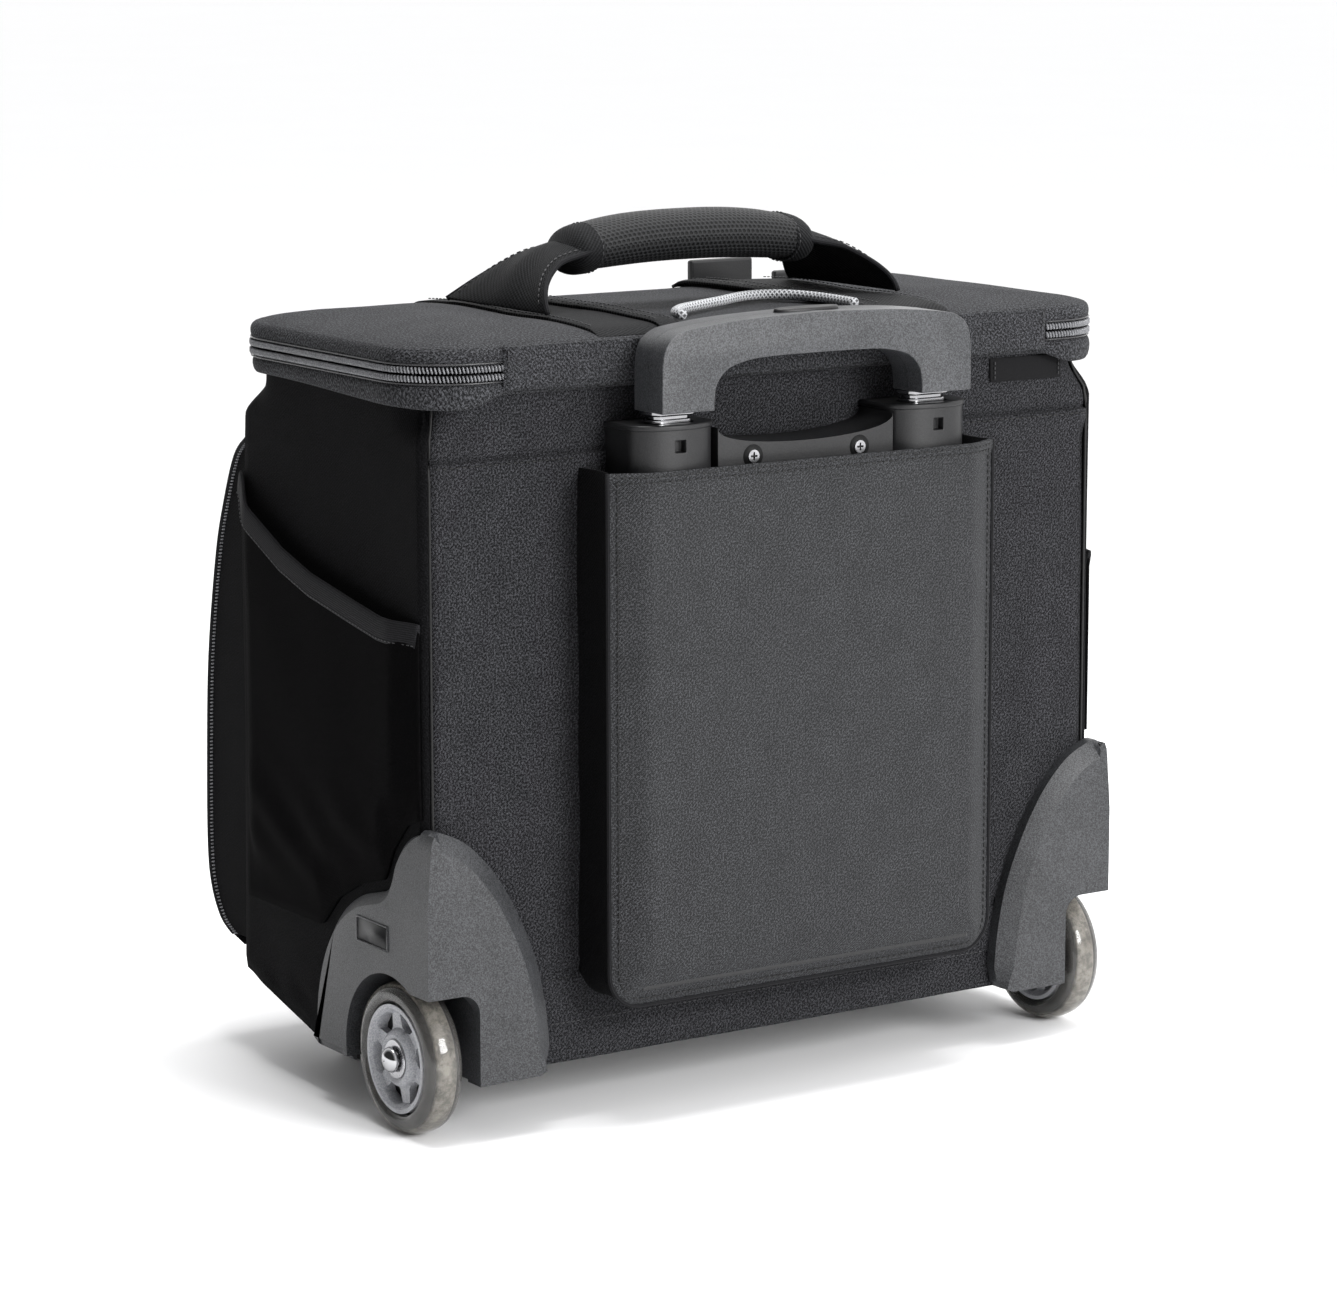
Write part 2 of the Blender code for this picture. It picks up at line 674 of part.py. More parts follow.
def button_solid(name, extra, height, collection, finish=None):
    """The oval push button, or the slightly larger space that it moves in."""
    outline = []
    long_half, short_half = 0.0190 + extra, 0.0060 + extra
    for step in range(20):
        angle = 2 * math.pi * step / 20
        outline.append((long_half * math.cos(angle), GRIP_SPLIT + short_half * math.sin(angle)))
    return plate(name, outline, "plan", height, finish, collection=collection)


# ---- wheels -----------------------------------------------------------------------------------
def make_housing(side):
    """A moulded corner shell with a cheek inside the wheel and an arch over it."""
    name = side_name(side)
    out = 0.0130
    housing = plate(
        f"wheel_housing_{name}", HOUSING_SIDE, "side",
        both(side, HALF_WIDTH + GAP, HALF_WIDTH + out), PLASTIC,
    )
    back = plate(
        f"housing_back_{name}", mirrored(HOUSING_BACK, side), "back", (GAP, 0.0125), collection=CUTTERS,
    )
    well = block(
        f"housing_well_{name}", both(side, WELL_INNER, HALF_WIDTH + 0.006), (WELL_FRONT, 0.0090),
        (0.0300, WELL_TOP), collection=CUTTERS,
    )
    join(housing, back, well)
    depth, height = AXLE
    arch = drum(
        f"arch_{name}", both(side, WELL_WALL, 0.25), depth, height, WELL_RADIUS, "X", sides=32,
        collection=CUTTERS,
    )
    below = block(
        f"arch_below_{name}", both(side, WELL_WALL, 0.25), (depth - WELL_RADIUS + 0.0006, depth + 0.061),
        (-0.01, height), collection=CUTTERS,
    )
    behind = block(
        f"arch_behind_{name}", both(side, WELL_WALL, 0.25), (depth, depth + 0.060),
        (-0.005, height + 0.040),
        collection=CUTTERS,
    )
    bolt_hole = drum(
        f"bolt_hole_{name}", both(side, 0.16, 0.20), depth, height, 0.0042, "X", sides=16,
        collection=CUTTERS,
    )
    cut(housing, arch, below, behind, bolt_hole)


def make_wheel(side):
    name = side_name(side)
    depth, height = AXLE
    spin = pivot(f"wheel_axle_{name}", side * WHEEL_FACE, depth, height)
    half = WHEEL_WIDTH / 2
    x = side * (WHEEL_FACE - half)
    rim, radius = 0.0275, WHEEL_RADIUS
    tyre_profile = [
        (half - 0.001, rim), (half - 0.001, 0.033), (half - 0.0035, radius - 0.0012), (0.004, radius),
        (-0.004, radius), (0.0035 - half, radius - 0.0012), (0.001 - half, 0.033), (0.001 - half, rim),
    ]
    tyre = turned(f"tyre_{name}", tyre_profile, x, CLEAR_TYRE, 40)
    bore = 0.0105
    hub_profile = [
        (half - 0.002, bore), (half - 0.0015, 0.014), (half - 0.004, 0.0155), (half - 0.004, 0.0225),
        (half - 0.0015, 0.024), (half - 0.0015, rim - GAP), (0.0015 - half, rim - GAP),
        (0.0015 - half, 0.024),
        (0.004 - half, 0.0225), (0.004 - half, 0.0155), (0.0015 - half, 0.014), (0.002 - half, bore),
    ]
    hub = turned(f"hub_{name}", hub_profile, x, HUB_GREY, 36)
    windows = []
    for step in range(6):
        angle = math.radians(60 * step + 30)
        centre = (depth + 0.0190 * math.cos(angle), height + 0.0190 * math.sin(angle))
        windows.append(drum(
            f"hub_window_{name}_{step}", both(side, 0.16, 0.24), *centre, 0.0040, "X", sides=10,
            collection=CUTTERS,
        ))
    cut(hub, *windows)
    bearing_profile = [
        (half - 0.002, 0.0042), (half - 0.002, bore - GAP), (0.002 - half, bore - GAP),
        (0.002 - half, 0.0042),
    ]
    bearing = turned(f"bearing_{name}", bearing_profile, x, CHROME, 24)
    carried(spin, tyre, hub, bearing)
    head = side * (WHEEL_FACE + 0.0003)
    bolt_profile = [
        (0.0045, 0.0), (0.0042, 0.0045), (0.0030, 0.0068), (0.0, 0.0072), (0.0, 0.0038), (-0.0350, 0.0038),
        (-0.0350, 0.0),
    ]
    if side < 0:
        bolt_profile = [(-along, reach) for along, reach in reversed(bolt_profile)]
    turned(f"axle_bolt_{name}", bolt_profile, head, CHROME, 20)


def make_foot(side):
    outline = [(-0.176, 0.0467), (-0.146, 0.0390), (-0.148, 0.0), (-0.171, 0.0)]
    plate(f"front_foot_{side_name(side)}", outline, "side", both(side, 0.125, 0.155), FOOT_RUBBER)


def main():
    make_body()
    make_front_pocket()
    make_lid()
    make_sleeve()
    make_trolley_base()
    make_trolley_stages()
    for side in (1, -1):
        make_side_pocket(side)
        make_housing(side)
        make_wheel(side)
        make_foot(side)


main()
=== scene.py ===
"""The looks of a rolling flight case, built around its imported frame.

Places are given as (x, depth, height): depth is measured from the back panel's outer face, towards
+Y, and `at` moves it into the frame. Lengths are in metres.
"""

import math

import bmesh
import bpy
from mathutils import Matrix, Vector, noise


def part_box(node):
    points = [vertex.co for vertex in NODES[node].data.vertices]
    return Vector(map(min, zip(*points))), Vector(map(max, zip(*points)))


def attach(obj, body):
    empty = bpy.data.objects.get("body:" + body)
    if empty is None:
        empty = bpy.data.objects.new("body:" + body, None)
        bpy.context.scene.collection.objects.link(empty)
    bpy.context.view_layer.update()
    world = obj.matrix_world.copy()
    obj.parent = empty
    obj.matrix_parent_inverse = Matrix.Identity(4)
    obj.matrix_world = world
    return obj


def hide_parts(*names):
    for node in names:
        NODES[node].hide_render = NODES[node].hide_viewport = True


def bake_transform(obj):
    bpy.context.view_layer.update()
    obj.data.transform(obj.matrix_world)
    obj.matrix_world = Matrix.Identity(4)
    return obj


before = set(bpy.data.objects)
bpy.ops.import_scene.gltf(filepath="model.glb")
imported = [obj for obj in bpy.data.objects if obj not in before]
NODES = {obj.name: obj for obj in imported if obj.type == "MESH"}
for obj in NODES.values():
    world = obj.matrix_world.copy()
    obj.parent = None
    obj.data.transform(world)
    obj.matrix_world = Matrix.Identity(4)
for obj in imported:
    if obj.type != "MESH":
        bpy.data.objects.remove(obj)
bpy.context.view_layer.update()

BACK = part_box("back_panel")[1].y
PI = math.pi
SIDES = (("left", 1), ("right", -1))


def at(x, depth, height):
    return Vector((x, BACK + depth, height))


def depth_of(node, end):
    """A CAD node's lowest (0) or highest (1) depth."""
    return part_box(node)[end].y - BACK


# Driving dimensions, all read from the frame.
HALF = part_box("side_panel_left")[1].x
BODY_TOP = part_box("back_panel")[1].z
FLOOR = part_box("back_panel")[0].z
WALL_TOP = BODY_TOP + 0.0035  # the walls end inside the rim, so no light shows under it
LID_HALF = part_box("lid_panel")[1].x
LID_REAR = depth_of("lid_panel", 1)
LID_FRONT = depth_of("lid_panel", 0)
LID_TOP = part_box("lid_panel")[1].z
LID_CORNER = 0.034
AXLE = (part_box("tyre_left")[0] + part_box("tyre_left")[1]) / 2
WHEEL_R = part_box("tyre_left")[1].z / 2
ZIP_END = 0.163
WELL_X, WELL_FRONT, WELL_TOP = 0.1702, -0.0748, 0.0883


# ---- node materials ---------------------------------------------------------------------------
class Shader:
    """A material's node tree, with short calls for the nodes that the finishes share."""

    def __init__(self, name, roughness, metallic=0.0, **constants):
        self.material = bpy.data.materials.new(name)
        self.material.use_nodes = True
        self.tree = self.material.node_tree
        self.main = self.tree.nodes["Principled BSDF"]
        self.main.inputs["Roughness"].default_value = roughness
        self.main.inputs["Metallic"].default_value = metallic
        for socket, value in constants.items():
            self.main.inputs[socket.replace("_", " ")].default_value = value

    def node(self, kind, **settings):
        made = self.tree.nodes.new("ShaderNode" + kind)
        for name, value in settings.items():
            setattr(made, name, value)
        return made

    def feed(self, value, socket):
        if isinstance(value, bpy.types.NodeSocket):
            self.tree.links.new(value, socket)
        else:
            socket.default_value = value

    def maths(self, operation, *values):
        made = self.node("Math", operation=operation)
        for value, socket in zip(values, made.inputs):
            self.feed(value, socket)
        return made.outputs[0]

    def vector(self, operation, *values):
        made = self.node("VectorMath", operation=operation)
        for value, socket in zip(values, made.inputs):
            self.feed(value, socket)
        return made.outputs["Value" if operation in ("LENGTH", "DOT_PRODUCT") else "Vector"]

    def coordinates(self, cloth=True):
        made = self.node("TexCoord")
        return made.outputs["UV" if cloth else "Object"]

    def noise(self, where, scale, detail=3.0, roughness=0.6):
        made = self.node("TexNoise")
        self.feed(where, made.inputs["Vector"])
        made.inputs["Scale"].default_value = scale
        made.inputs["Detail"].default_value = detail
        made.inputs["Roughness"].default_value = roughness
        return made.outputs["Fac"]

    def stripes(self, where, across, pitch):
        """A sine ridge pattern that repeats every pitch along the direction across, from 0 to 1."""
        length = math.hypot(*across)
        turn = 2 * PI / pitch / length
        phase = self.vector("DOT_PRODUCT", where, (across[0] * turn, across[1] * turn, 0))
        return self.maths("MULTIPLY_ADD", self.maths("SINE", phase), 0.5, 0.5)

    def span(self, value, low, high, to_low=0.0, to_high=1.0):
        made = self.node("MapRange")
        for number, socket in zip((value, low, high, to_low, to_high), made.inputs):
            self.feed(number, socket)
        return made.outputs[0]

    def mix(self, factor, first, second):
        made = self.node("Mix", data_type="RGBA")
        self.feed(factor, made.inputs[0])
        self.feed((*first, 1) if isinstance(first, tuple) else first, made.inputs[6])
        self.feed((*second, 1) if isinstance(second, tuple) else second, made.inputs[7])
        return made.outputs[2]

    def colour(self, value):
        self.feed(value, self.main.inputs["Base Color"])

    def rough(self, value):
        self.feed(value, self.main.inputs["Roughness"])

    def bump(self, height, distance):
        made = self.node("Bump")
        made.inputs["Strength"].default_value = 1.0
        made.inputs["Distance"].default_value = distance
        self.feed(height, made.inputs["Height"])
        self.tree.links.new(made.outputs[0], self.main.inputs["Normal"])


def woven(name, dark, light, pitch, relief=0.00025, sheen=0.04, fleck=0.5, rough=0.85, gloss=0.12):
    """A plain weave of heathered yarn: each thread crossing is a small bump."""
    s = Shader(name, rough, Sheen_Weight=sheen, Sheen_Roughness=0.4, Specular_IOR_Level=gloss)
    cloth = s.coordinates()
    drift = s.noise(cloth, 60.0, 2.0)
    warp = s.stripes(cloth, (1, 0), pitch)
    weft = s.stripes(cloth, (0, 1), pitch)
    twill = s.stripes(cloth, (1, 1), pitch * 1.4)
    checks = s.maths("ABSOLUTE", s.maths("SUBTRACT", warp, weft))
    yarn = s.maths("MULTIPLY_ADD", twill, 0.5, s.maths("MULTIPLY", checks, 0.5))
    specks = s.noise(cloth, 1.1 / pitch, 2.0, 0.75)
    fleckle = s.span(specks, 0.52 - fleck * 0.16, 0.52 + fleck * 0.24, 0.0, 0.75)
    tone = s.maths("ADD", s.maths("MULTIPLY", yarn, 0.25), fleckle)
    tone = s.maths("MULTIPLY", tone, s.span(drift, 0.3, 0.7, 0.85, 1.1))
    s.colour(s.mix(tone, dark, light))
    s.bump(s.maths("MULTIPLY_ADD", specks, 0.6, yarn), relief)
    return s.material


def ribbed(name, dark, light, pitch, across=(1, 1), relief=0.0003):
    """Webbing or binding with parallel ribs."""
    s = Shader(name, 0.75, Sheen_Weight=0.01, Sheen_Roughness=0.4, Specular_IOR_Level=0.12)
    cloth = s.coordinates()
    rib = s.stripes(cloth, across, pitch)
    thread = s.stripes(cloth, (across[1], -across[0]), pitch * 0.8)
    fuzz = s.noise(cloth, 0.8 / pitch, 3.0)
    high = s.maths("MULTIPLY_ADD", thread, 0.25, s.maths("MULTIPLY", rib, 0.75))
    s.colour(s.mix(s.maths("MULTIPLY", high, s.span(fuzz, 0.3, 0.7, 0.5, 1.2)), dark, light))
    s.bump(s.maths("MULTIPLY_ADD", fuzz, 0.4, high), relief)
    return s.material


def air_mesh(name, dark, light, pitch):
    """Spacer mesh: round holes on a hexagonal lattice between shiny threads."""
    s = Shader(name, 0.55, Sheen_Weight=0.01, Specular_IOR_Level=0.2)
    cloth = s.coordinates()
    cell = (pitch, pitch * math.sqrt(3), 1.0)
    nearest = []
    for shift in (0.0, 0.5):
        moved = s.vector("ADD", s.vector("DIVIDE", cloth, cell), (shift, shift, 0))
        folded = s.vector("WRAP", moved, (0.5, 0.5, 0.5), (-0.5, -0.5, -0.5))
        flat = s.vector("MULTIPLY", folded, (cell[0], cell[1], 0.0))
        nearest.append(s.vector("LENGTH", flat))
    reach = s.maths("MINIMUM", *nearest)
    thread = s.span(reach, pitch * 0.22, pitch * 0.42)
    fuzz = s.noise(cloth, 2400.0, 2.0)
    s.colour(s.mix(s.maths("MULTIPLY", thread, s.span(fuzz, 0.3, 0.7, 0.6, 1.1)), dark, light))
    s.bump(s.maths("MULTIPLY_ADD", fuzz, 0.15, thread), 0.0007)
    return s.material


def braided(name, dark, light, pitch):
    s = Shader(name, 0.55, Sheen_Weight=0.2)
    cloth = s.coordinates()
    one, two = s.stripes(cloth, (1, 1), pitch), s.stripes(cloth, (1, -1), pitch)
    strand = s.maths("MAXIMUM", one, two)
    fuzz = s.noise(cloth, 2600.0, 3.0)
    lit = s.maths("MULTIPLY", s.span(strand, 0.45, 0.85), s.span(fuzz, 0.3, 0.6, 0.35, 1.0))
    s.colour(s.mix(lit, dark, light))
    s.bump(strand, 0.0005)
    return s.material


def moulded(name, dark, light, rough=0.5, grain=0.00006, grain_scale=1500.0):
    """Injection moulding with a spark-eroded grain and faint handling wear."""
    s = Shader(name, rough, Specular_IOR_Level=0.35)
    place = s.coordinates(cloth=False)
    grains = s.noise(place, grain_scale, 3.0, 0.7)
    blotch = s.noise(place, 35.0, 3.0)
    tone = s.maths("MULTIPLY_ADD", grains, 0.88, s.maths("MULTIPLY", blotch, 0.12))
    s.colour(s.mix(s.span(tone, 0.4, 0.62), dark, light))
    s.rough(s.span(blotch, 0.3, 0.7, rough - 0.04, rough + 0.04))
    s.bump(grains, grain)
    return s.material


def metal(name, colour, rough, brushed=0.0):
    s = Shader(name, rough, metallic=1.0)
    place = s.coordinates(cloth=False)
    smear = s.noise(place, 90.0, 4.0)
    s.colour(s.mix(s.span(smear, 0.3, 0.7), tuple(c * 0.9 for c in colour), colour))
    s.rough(s.span(smear, 0.3, 0.7, rough * 0.7, rough * 1.4))
    if brushed:
        s.bump(s.noise(s.vector("MULTIPLY", place, (1, 1, 0.05)), 2500.0, 2.0), brushed)
    return s.material


def clear_polyurethane(name):
    s = Shader(name, 0.12, Transmission_Weight=0.92, IOR=1.42, Specular_IOR_Level=0.5)
    place = s.coordinates(cloth=False)
    cloud = s.noise(place, 70.0, 3.0)
    s.colour(s.mix(s.span(cloud, 0.3, 0.7), (0.4, 0.39, 0.37), (0.62, 0.6, 0.57)))
    s.rough(s.span(cloud, 0.3, 0.7, 0.06, 0.16))
    return s.material


def make_finishes():
    return {
        "twill": woven(
            "twill_cloth", (0.001, 0.001, 0.0012), (0.054, 0.0545, 0.06), 0.0011, 0.0003, 0.02, 0.35,
            gloss=0.08
        ),
        "lid": woven(
            "lid_cloth", (0.0012, 0.0012, 0.0014), (0.07, 0.0715, 0.078), 0.0012, 0.0003, 0.03, 0.35
        ),
        "nylon": woven(
            "nylon_cloth", (0.0008, 0.0008, 0.0009), (0.0085, 0.0085, 0.0095), 0.0009, 0.00022, 0.008,
            0.4, gloss=0.05
        ),
        "stretch": woven(
            "stretch_cloth", (0.0005, 0.0005, 0.0006), (0.0032, 0.003, 0.0033), 0.0008, 0.0001, 0.0,
            gloss=0.03
        ),
        "lining": woven("lining_cloth", (0.02, 0.021, 0.023), (0.06, 0.062, 0.066), 0.0009),
        "coated": woven(
            "coated_cloth", (0.002, 0.0021, 0.0024), (0.052, 0.0535, 0.058), 0.001, 0.00026, 0.01, 0.22,
            0.58, 0.18
        ),
        "webbing": ribbed("webbing", (0.0012, 0.0012, 0.0014), (0.017, 0.0175, 0.019), 0.0017),
        "binding": ribbed(
            "binding", (0.002, 0.002, 0.0023), (0.014, 0.014, 0.016), 0.0011, (0, 1), 0.00015
        ),
        "tape": ribbed(
            "zip_tape", (0.0015, 0.0015, 0.0018), (0.008, 0.008, 0.009), 0.0007, (0, 1), 0.0001
        ),
        # Zip teeth: the coil is black, and its light grey here is painted highlight for the glints on the
        # teeth.
        "coil": moulded("zip_coil_painted_highlight", (0.09, 0.091, 0.097), (0.22, 0.223, 0.235), 0.2, 0.00001),
        "thread": moulded("thread", (0.014, 0.014, 0.015), (0.042, 0.042, 0.045), 0.5, 0.00004),
        # A darker copy of the same thread: painted shade for stitches sunk into the grey sleeve and the
        # back.
        "thread_dark": moulded(
            "thread_dark", (0.0015, 0.0015, 0.0016), (0.006, 0.006, 0.0065), 0.5, 0.00004
        ),
        "mesh": air_mesh("air_mesh", (0.0004, 0.0004, 0.0005), (0.019, 0.0195, 0.021), 0.0027),
        "cord": braided("braided_cord", (0.06, 0.06, 0.065), (0.5, 0.51, 0.53), 0.0022),
        "plastic": moulded(
            "moulded_plastic", (0.014, 0.0147, 0.016), (0.066, 0.068, 0.073), 0.34, 0.0001
        ),
        "housing": moulded(
            "housing_plastic", (0.006, 0.0063, 0.007), (0.054, 0.0555, 0.06), 0.42, 0.00014
        ),
        "dark": moulded("dark_plastic", (0.006, 0.006, 0.0066), (0.014, 0.014, 0.015), 0.4),
        # Near-black painted shade: the colour of dark fills put where shade falls, in screw recesses,
        # behind the hub windows and in the corner seams.
        "shadow": moulded("painted_shade_plastic", (0.0015, 0.0015, 0.0015), (0.0035, 0.0035, 0.004), 0.6),
        "tyre": clear_polyurethane("clear_tyre"),
        "core": moulded("tyre_core", (0.22, 0.21, 0.19), (0.52, 0.49, 0.44), 0.35, 0.00002, 240.0),
        "core_side": moulded(
            "tyre_core_side", (0.008, 0.008, 0.008), (0.034, 0.033, 0.032), 0.5, 0.00002, 300.0
        ),
        # A glossy cord along the zip tapes' edges, lighter than the tape: its lighter colour is painted
        # highlight for the light line on the tape edge.
        "tape_edge_highlight": moulded("tape_edge_highlight", (0.02, 0.02, 0.021), (0.04, 0.04, 0.042), 0.25, 0.00001),
        "hub": moulded("hub_plastic", (0.26, 0.265, 0.285), (0.44, 0.445, 0.465), 0.26, 0.00003),
        "chrome": metal("chrome", (0.5, 0.5, 0.515), 0.1),
        "steel": metal("steel", (0.42, 0.42, 0.435), 0.24),
        "aluminium": metal("aluminium", (0.42, 0.42, 0.435), 0.3, 0.00003),
        "rubber": moulded("foot_rubber", (0.01, 0.01, 0.01), (0.02, 0.02, 0.02), 0.75, 0.0001),
    }


FINISH = make_finishes()


# ---- mesh helpers -----------------------------------------------------------------------------
def piece(name, points, faces, finish, body, uv=None):
    """A smooth mesh that rides on a body; uv holds one (u, v) in metres for each face corner."""
    mesh = bpy.data.meshes.new(name)
    mesh.from_pydata([tuple(p) for p in points], [], faces)
    layer = mesh.uv_layers.new(name="cloth")
    if uv:
        for loop, place in zip(layer.data, uv):
            loop.uv = place
    else:
        box_cloth(mesh)
    mesh.materials.append(FINISH[finish])
    mesh.shade_smooth()
    obj = bpy.data.objects.new(name, mesh)
    bpy.context.scene.collection.objects.link(obj)
    if body:
        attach(obj, body)
    return obj


def box_cloth(mesh):
    """Cloth coordinates in metres, taken flat from each face's main direction."""
    layer = mesh.uv_layers.active.data
    for face in mesh.polygons:
        sizes = [abs(value) for value in face.normal]
        main = sizes.index(max(sizes))
        for loop in face.loop_indices:
            spot = mesh.vertices[mesh.loops[loop].vertex_index].co
            layer[loop].uv = [(spot.y, spot.z), (spot.x, spot.z), (spot.x, spot.y)][main]


def turned_to(target, points, faces, uv):
    """The faces and their cloth coordinates, turned round if the surface faces away from target."""
    total = Vector()
    for face in faces:
        a, b, c = (points[k] for k in face[:3])
        total += (b - a).cross(c - a)
    if total.dot(Vector(target)) >= 0:
        return faces, uv
    turned_uv, start = [], 0
    for face in faces:
        turned_uv += uv[start:start + len(face)][::-1]
        start += len(face)
    return [face[::-1] for face in faces], turned_uv


def surface(name, rows, finish, body, closed=(False, False), outward=None, caps=False):
    """A quad surface through rows of points, with cloth coordinates from its own lengths."""
    count, width = len(rows), len(rows[0])
    ends = (count + closed[0], width + closed[1])
    middle_row, middle_column = rows[count // 2], [row[width // 2] for row in rows]
    along = [0.0]
    for step in range(1, ends[0]):
        along.append(along[-1] + (middle_column[step % count] - middle_column[step - 1]).length)
    across = [0.0]
    for step in range(1, ends[1]):
        across.append(across[-1] + (middle_row[step % width] - middle_row[step - 1]).length)
    points = [p for row in rows for p in row]
    faces, uv = [], []
    for i in range(ends[0] - 1):
        for j in range(ends[1] - 1):
            corners = ((i, j), (i + 1, j), (i + 1, j + 1), (i, j + 1))
            faces.append([(a % count) * width + b % width for a, b in corners])
            uv += [(along[a], across[b]) for a, b in corners]
    if caps:
        for i, order in ((0, 1), (count - 1, -1)):
            loop = [i * width + j for j in range(width)][::-order]
            faces.append(loop)
            uv += [(points[k].x + points[k].y, points[k].z) for k in loop]
    if outward is not None:
        faces, uv = turned_to(outward, points, faces, uv)
    obj = piece(name, points, faces, finish, body, uv)
    if caps or (closed[0] and closed[1]):
        face_out(obj)
    return obj


def face_out(obj):
    shape = bmesh.new()
    shape.from_mesh(obj.data)
    bmesh.ops.recalc_face_normals(shape, faces=shape.faces)
    shape.to_mesh(obj.data)
    shape.free()
    return obj


def thick(obj, amount, offset=-1.0):
    step = obj.modifiers.new("Solidify", "SOLIDIFY")
    step.thickness = amount
    step.offset = offset
    return obj


def rounder(obj, levels=1):
    step = obj.modifiers.new("Subdivision", "SUBSURF")
    step.levels = levels
    step.render_levels = levels
    return obj


def softened(obj, width, segments=3, angle=32):
    step = obj.modifiers.new("Bevel", "BEVEL")
    step.width = width
    step.segments = segments
    step.limit_method = "ANGLE"
    step.angle_limit = math.radians(angle)
    step.harden_normals = False
    obj.data.set_sharp_from_angle(angle=math.radians(50))
    return obj


def carved(obj, *cutters):
    """Cuts closed shapes out of obj, for good."""
    for cutter in cutters:
        step = obj.modifiers.new("Cut", "BOOLEAN")
        step.operation = "DIFFERENCE"
        step.object = cutter
    apply_all(obj)
    for cutter in cutters:
        bpy.data.objects.remove(cutter)
    return obj


def trimmed(obj, unwanted):
    """Deletes the faces whose middle passes the test."""
    shape = bmesh.new()
    shape.from_mesh(obj.data)
    gone = [face for face in shape.faces if unwanted(face.calc_center_median())]
    bmesh.ops.delete(shape, geom=gone, context="FACES")
    shape.to_mesh(obj.data)
    shape.free()
    return obj


def in_well(point):
    """Whether a place is in the room that a wheel housing takes."""
    return point.z < WELL_TOP and point.y - BACK > WELL_FRONT and abs(point.x) > WELL_X


def merged(obj, *others):
    for other in others:
        step = obj.modifiers.new("Join", "BOOLEAN")
        step.operation = "UNION"
        step.object = other
    apply_all(obj)
    for other in others:
        bpy.data.objects.remove(other)
    return obj


def apply_all(obj):
    bpy.context.view_layer.update()
    graph = bpy.context.evaluated_depsgraph_get()
    mesh = bpy.data.meshes.new_from_object(
        obj.evaluated_get(graph), preserve_all_data_layers=True, depsgraph=graph
    )
    obj.modifiers.clear()
    obj.data = mesh
    return obj


PLANES = {
    "side": lambda a, b, t: at(t, a, b),
    "back": lambda a, b, t: at(a, t, b),
    "plan": lambda a, b, t: at(a, b, t),
}


def prism(name, outline, plane, span, finish, body="case"):
    """A closed outline made thick. Its pairs lie in the plane "side", "back" or "plan"."""
    place = PLANES[plane]
    count = len(outline)
    points = [place(a, b, span[0]) for a, b in outline] + [place(a, b, span[1]) for a, b in outline]
    faces = [[k, (k + 1) % count, count + (k + 1) % count, count + k] for k in range(count)]
    faces += [list(range(count))[::-1], list(range(count, 2 * count))]
    return face_out(piece(name, points, faces, finish, body))


def drum(name, axis, centre, radius, span, finish, sides=32):
    """A cylinder along X or Y; centre is (depth or x, height)."""
    outline = [
        (
            centre[0] + radius * math.cos(2 * PI * k / sides),
            centre[1] + radius * math.sin(2 * PI * k / sides)
        )
        for k in range(sides)
    ]
    return prism(name, outline, "side" if axis == "X" else "back", span, finish)


def turned(name, profile, finish, body, centre, steps=64):
    """A shape turned about an X line through centre; profile points are (along X, radius), closed."""
    rows = []
    for k in range(steps):
        angle = 2 * PI * k / steps
        rows.append([
            centre + Vector((along, radius * math.cos(angle), radius * math.sin(angle)))
            for along, radius in profile
        ])
    return surface(name, rows, finish, body, closed=(True, True))


def frames_along(points, up=Vector((0, 0, 1))):
    """Unit tangent, side and up vectors at each point of a path."""
    result = []
    for k in range(len(points)):
        before, after = points[max(k - 1, 0)], points[min(k + 1, len(points) - 1)]
        tangent = (after - before).normalized()
        side = tangent.cross(up)
        side = side.normalized() if side.length > 1e-6 else Vector((1, 0, 0))
        result.append((tangent, side, side.cross(tangent)))
    return result


def smooth_path(points, steps=6):
    """Points along a Catmull-Rom curve through the given ones."""
    ends = [points[0]] + list(points) + [points[-1]]
    path = []
    for start in range(len(points) - 1):
        a, b, c, d = ends[start:start + 4]
        for step in range(steps):
            t = step / steps
            path.append(
                b + (c - a) * t / 2 + (a * 2 - b * 5 + c * 4 - d) * t**2 / 2 + (b * 3 - a - c * 3 + d)
                * t**3 / 2
            )
    path.append(points[-1])
    return path


def evenly(route, spacing):
    """The path's points placed again at an even spacing."""
    lengths = [(b - a).length for a, b in zip(route, route[1:])]
    total = sum(lengths)
    count = max(2, round(total / spacing))
    result, travelled, leg = [], 0.0, 0
    for k in range(count + 1):
        target = total * k / count
        while leg < len(lengths) - 1 and travelled + lengths[leg] < target:
            travelled += lengths[leg]
            leg += 1
        share = (target - travelled) / max(lengths[leg], 1e-9)
        result.append(route[leg].lerp(route[leg + 1], min(max(share, 0), 1)))
    return result


def tube(name, points, radius, finish, body, sides=12, up=Vector((0, 0, 1))):
    rows = []
    for point, (_, side, top) in zip(points, frames_along(points, up)):
        rows.append([
            point + (side * math.cos(2 * PI * k / sides) + top * math.sin(2 * PI * k / sides)) * radius
            for k in range(sides)
        ])
    return surface(name, rows, finish, body, closed=(False, True), caps=True)


def beads(name, spots, finish, body):
    """Many small long bumps in one mesh. Each spot is (centre, along, across, normal), as half sizes."""
    points, faces = [], []
    ring = [(math.cos(2 * PI * k / 6), math.sin(2 * PI * k / 6)) for k in range(6)]
    for centre, along, across, normal in spots:
        base = len(points)
        for reach, swell in ((-1.0, 0.35), (-0.7, 0.9), (0.7, 0.9), (1.0, 0.35)):
            for c, s in ring:
                points.append(centre + along * reach + across * (c * swell) + normal * (s * swell))
        for row in range(3):
            for k in range(6):
                a, b = base + row * 6 + k, base + row * 6 + (k + 1) % 6
                faces.append((a, b, b + 6, a + 6))
        faces.append([base + k for k in range(6)][::-1])
        faces.append([base + 18 + k for k in range(6)])
    return face_out(piece(name, points, faces, finish, body))


STITCHES = {}


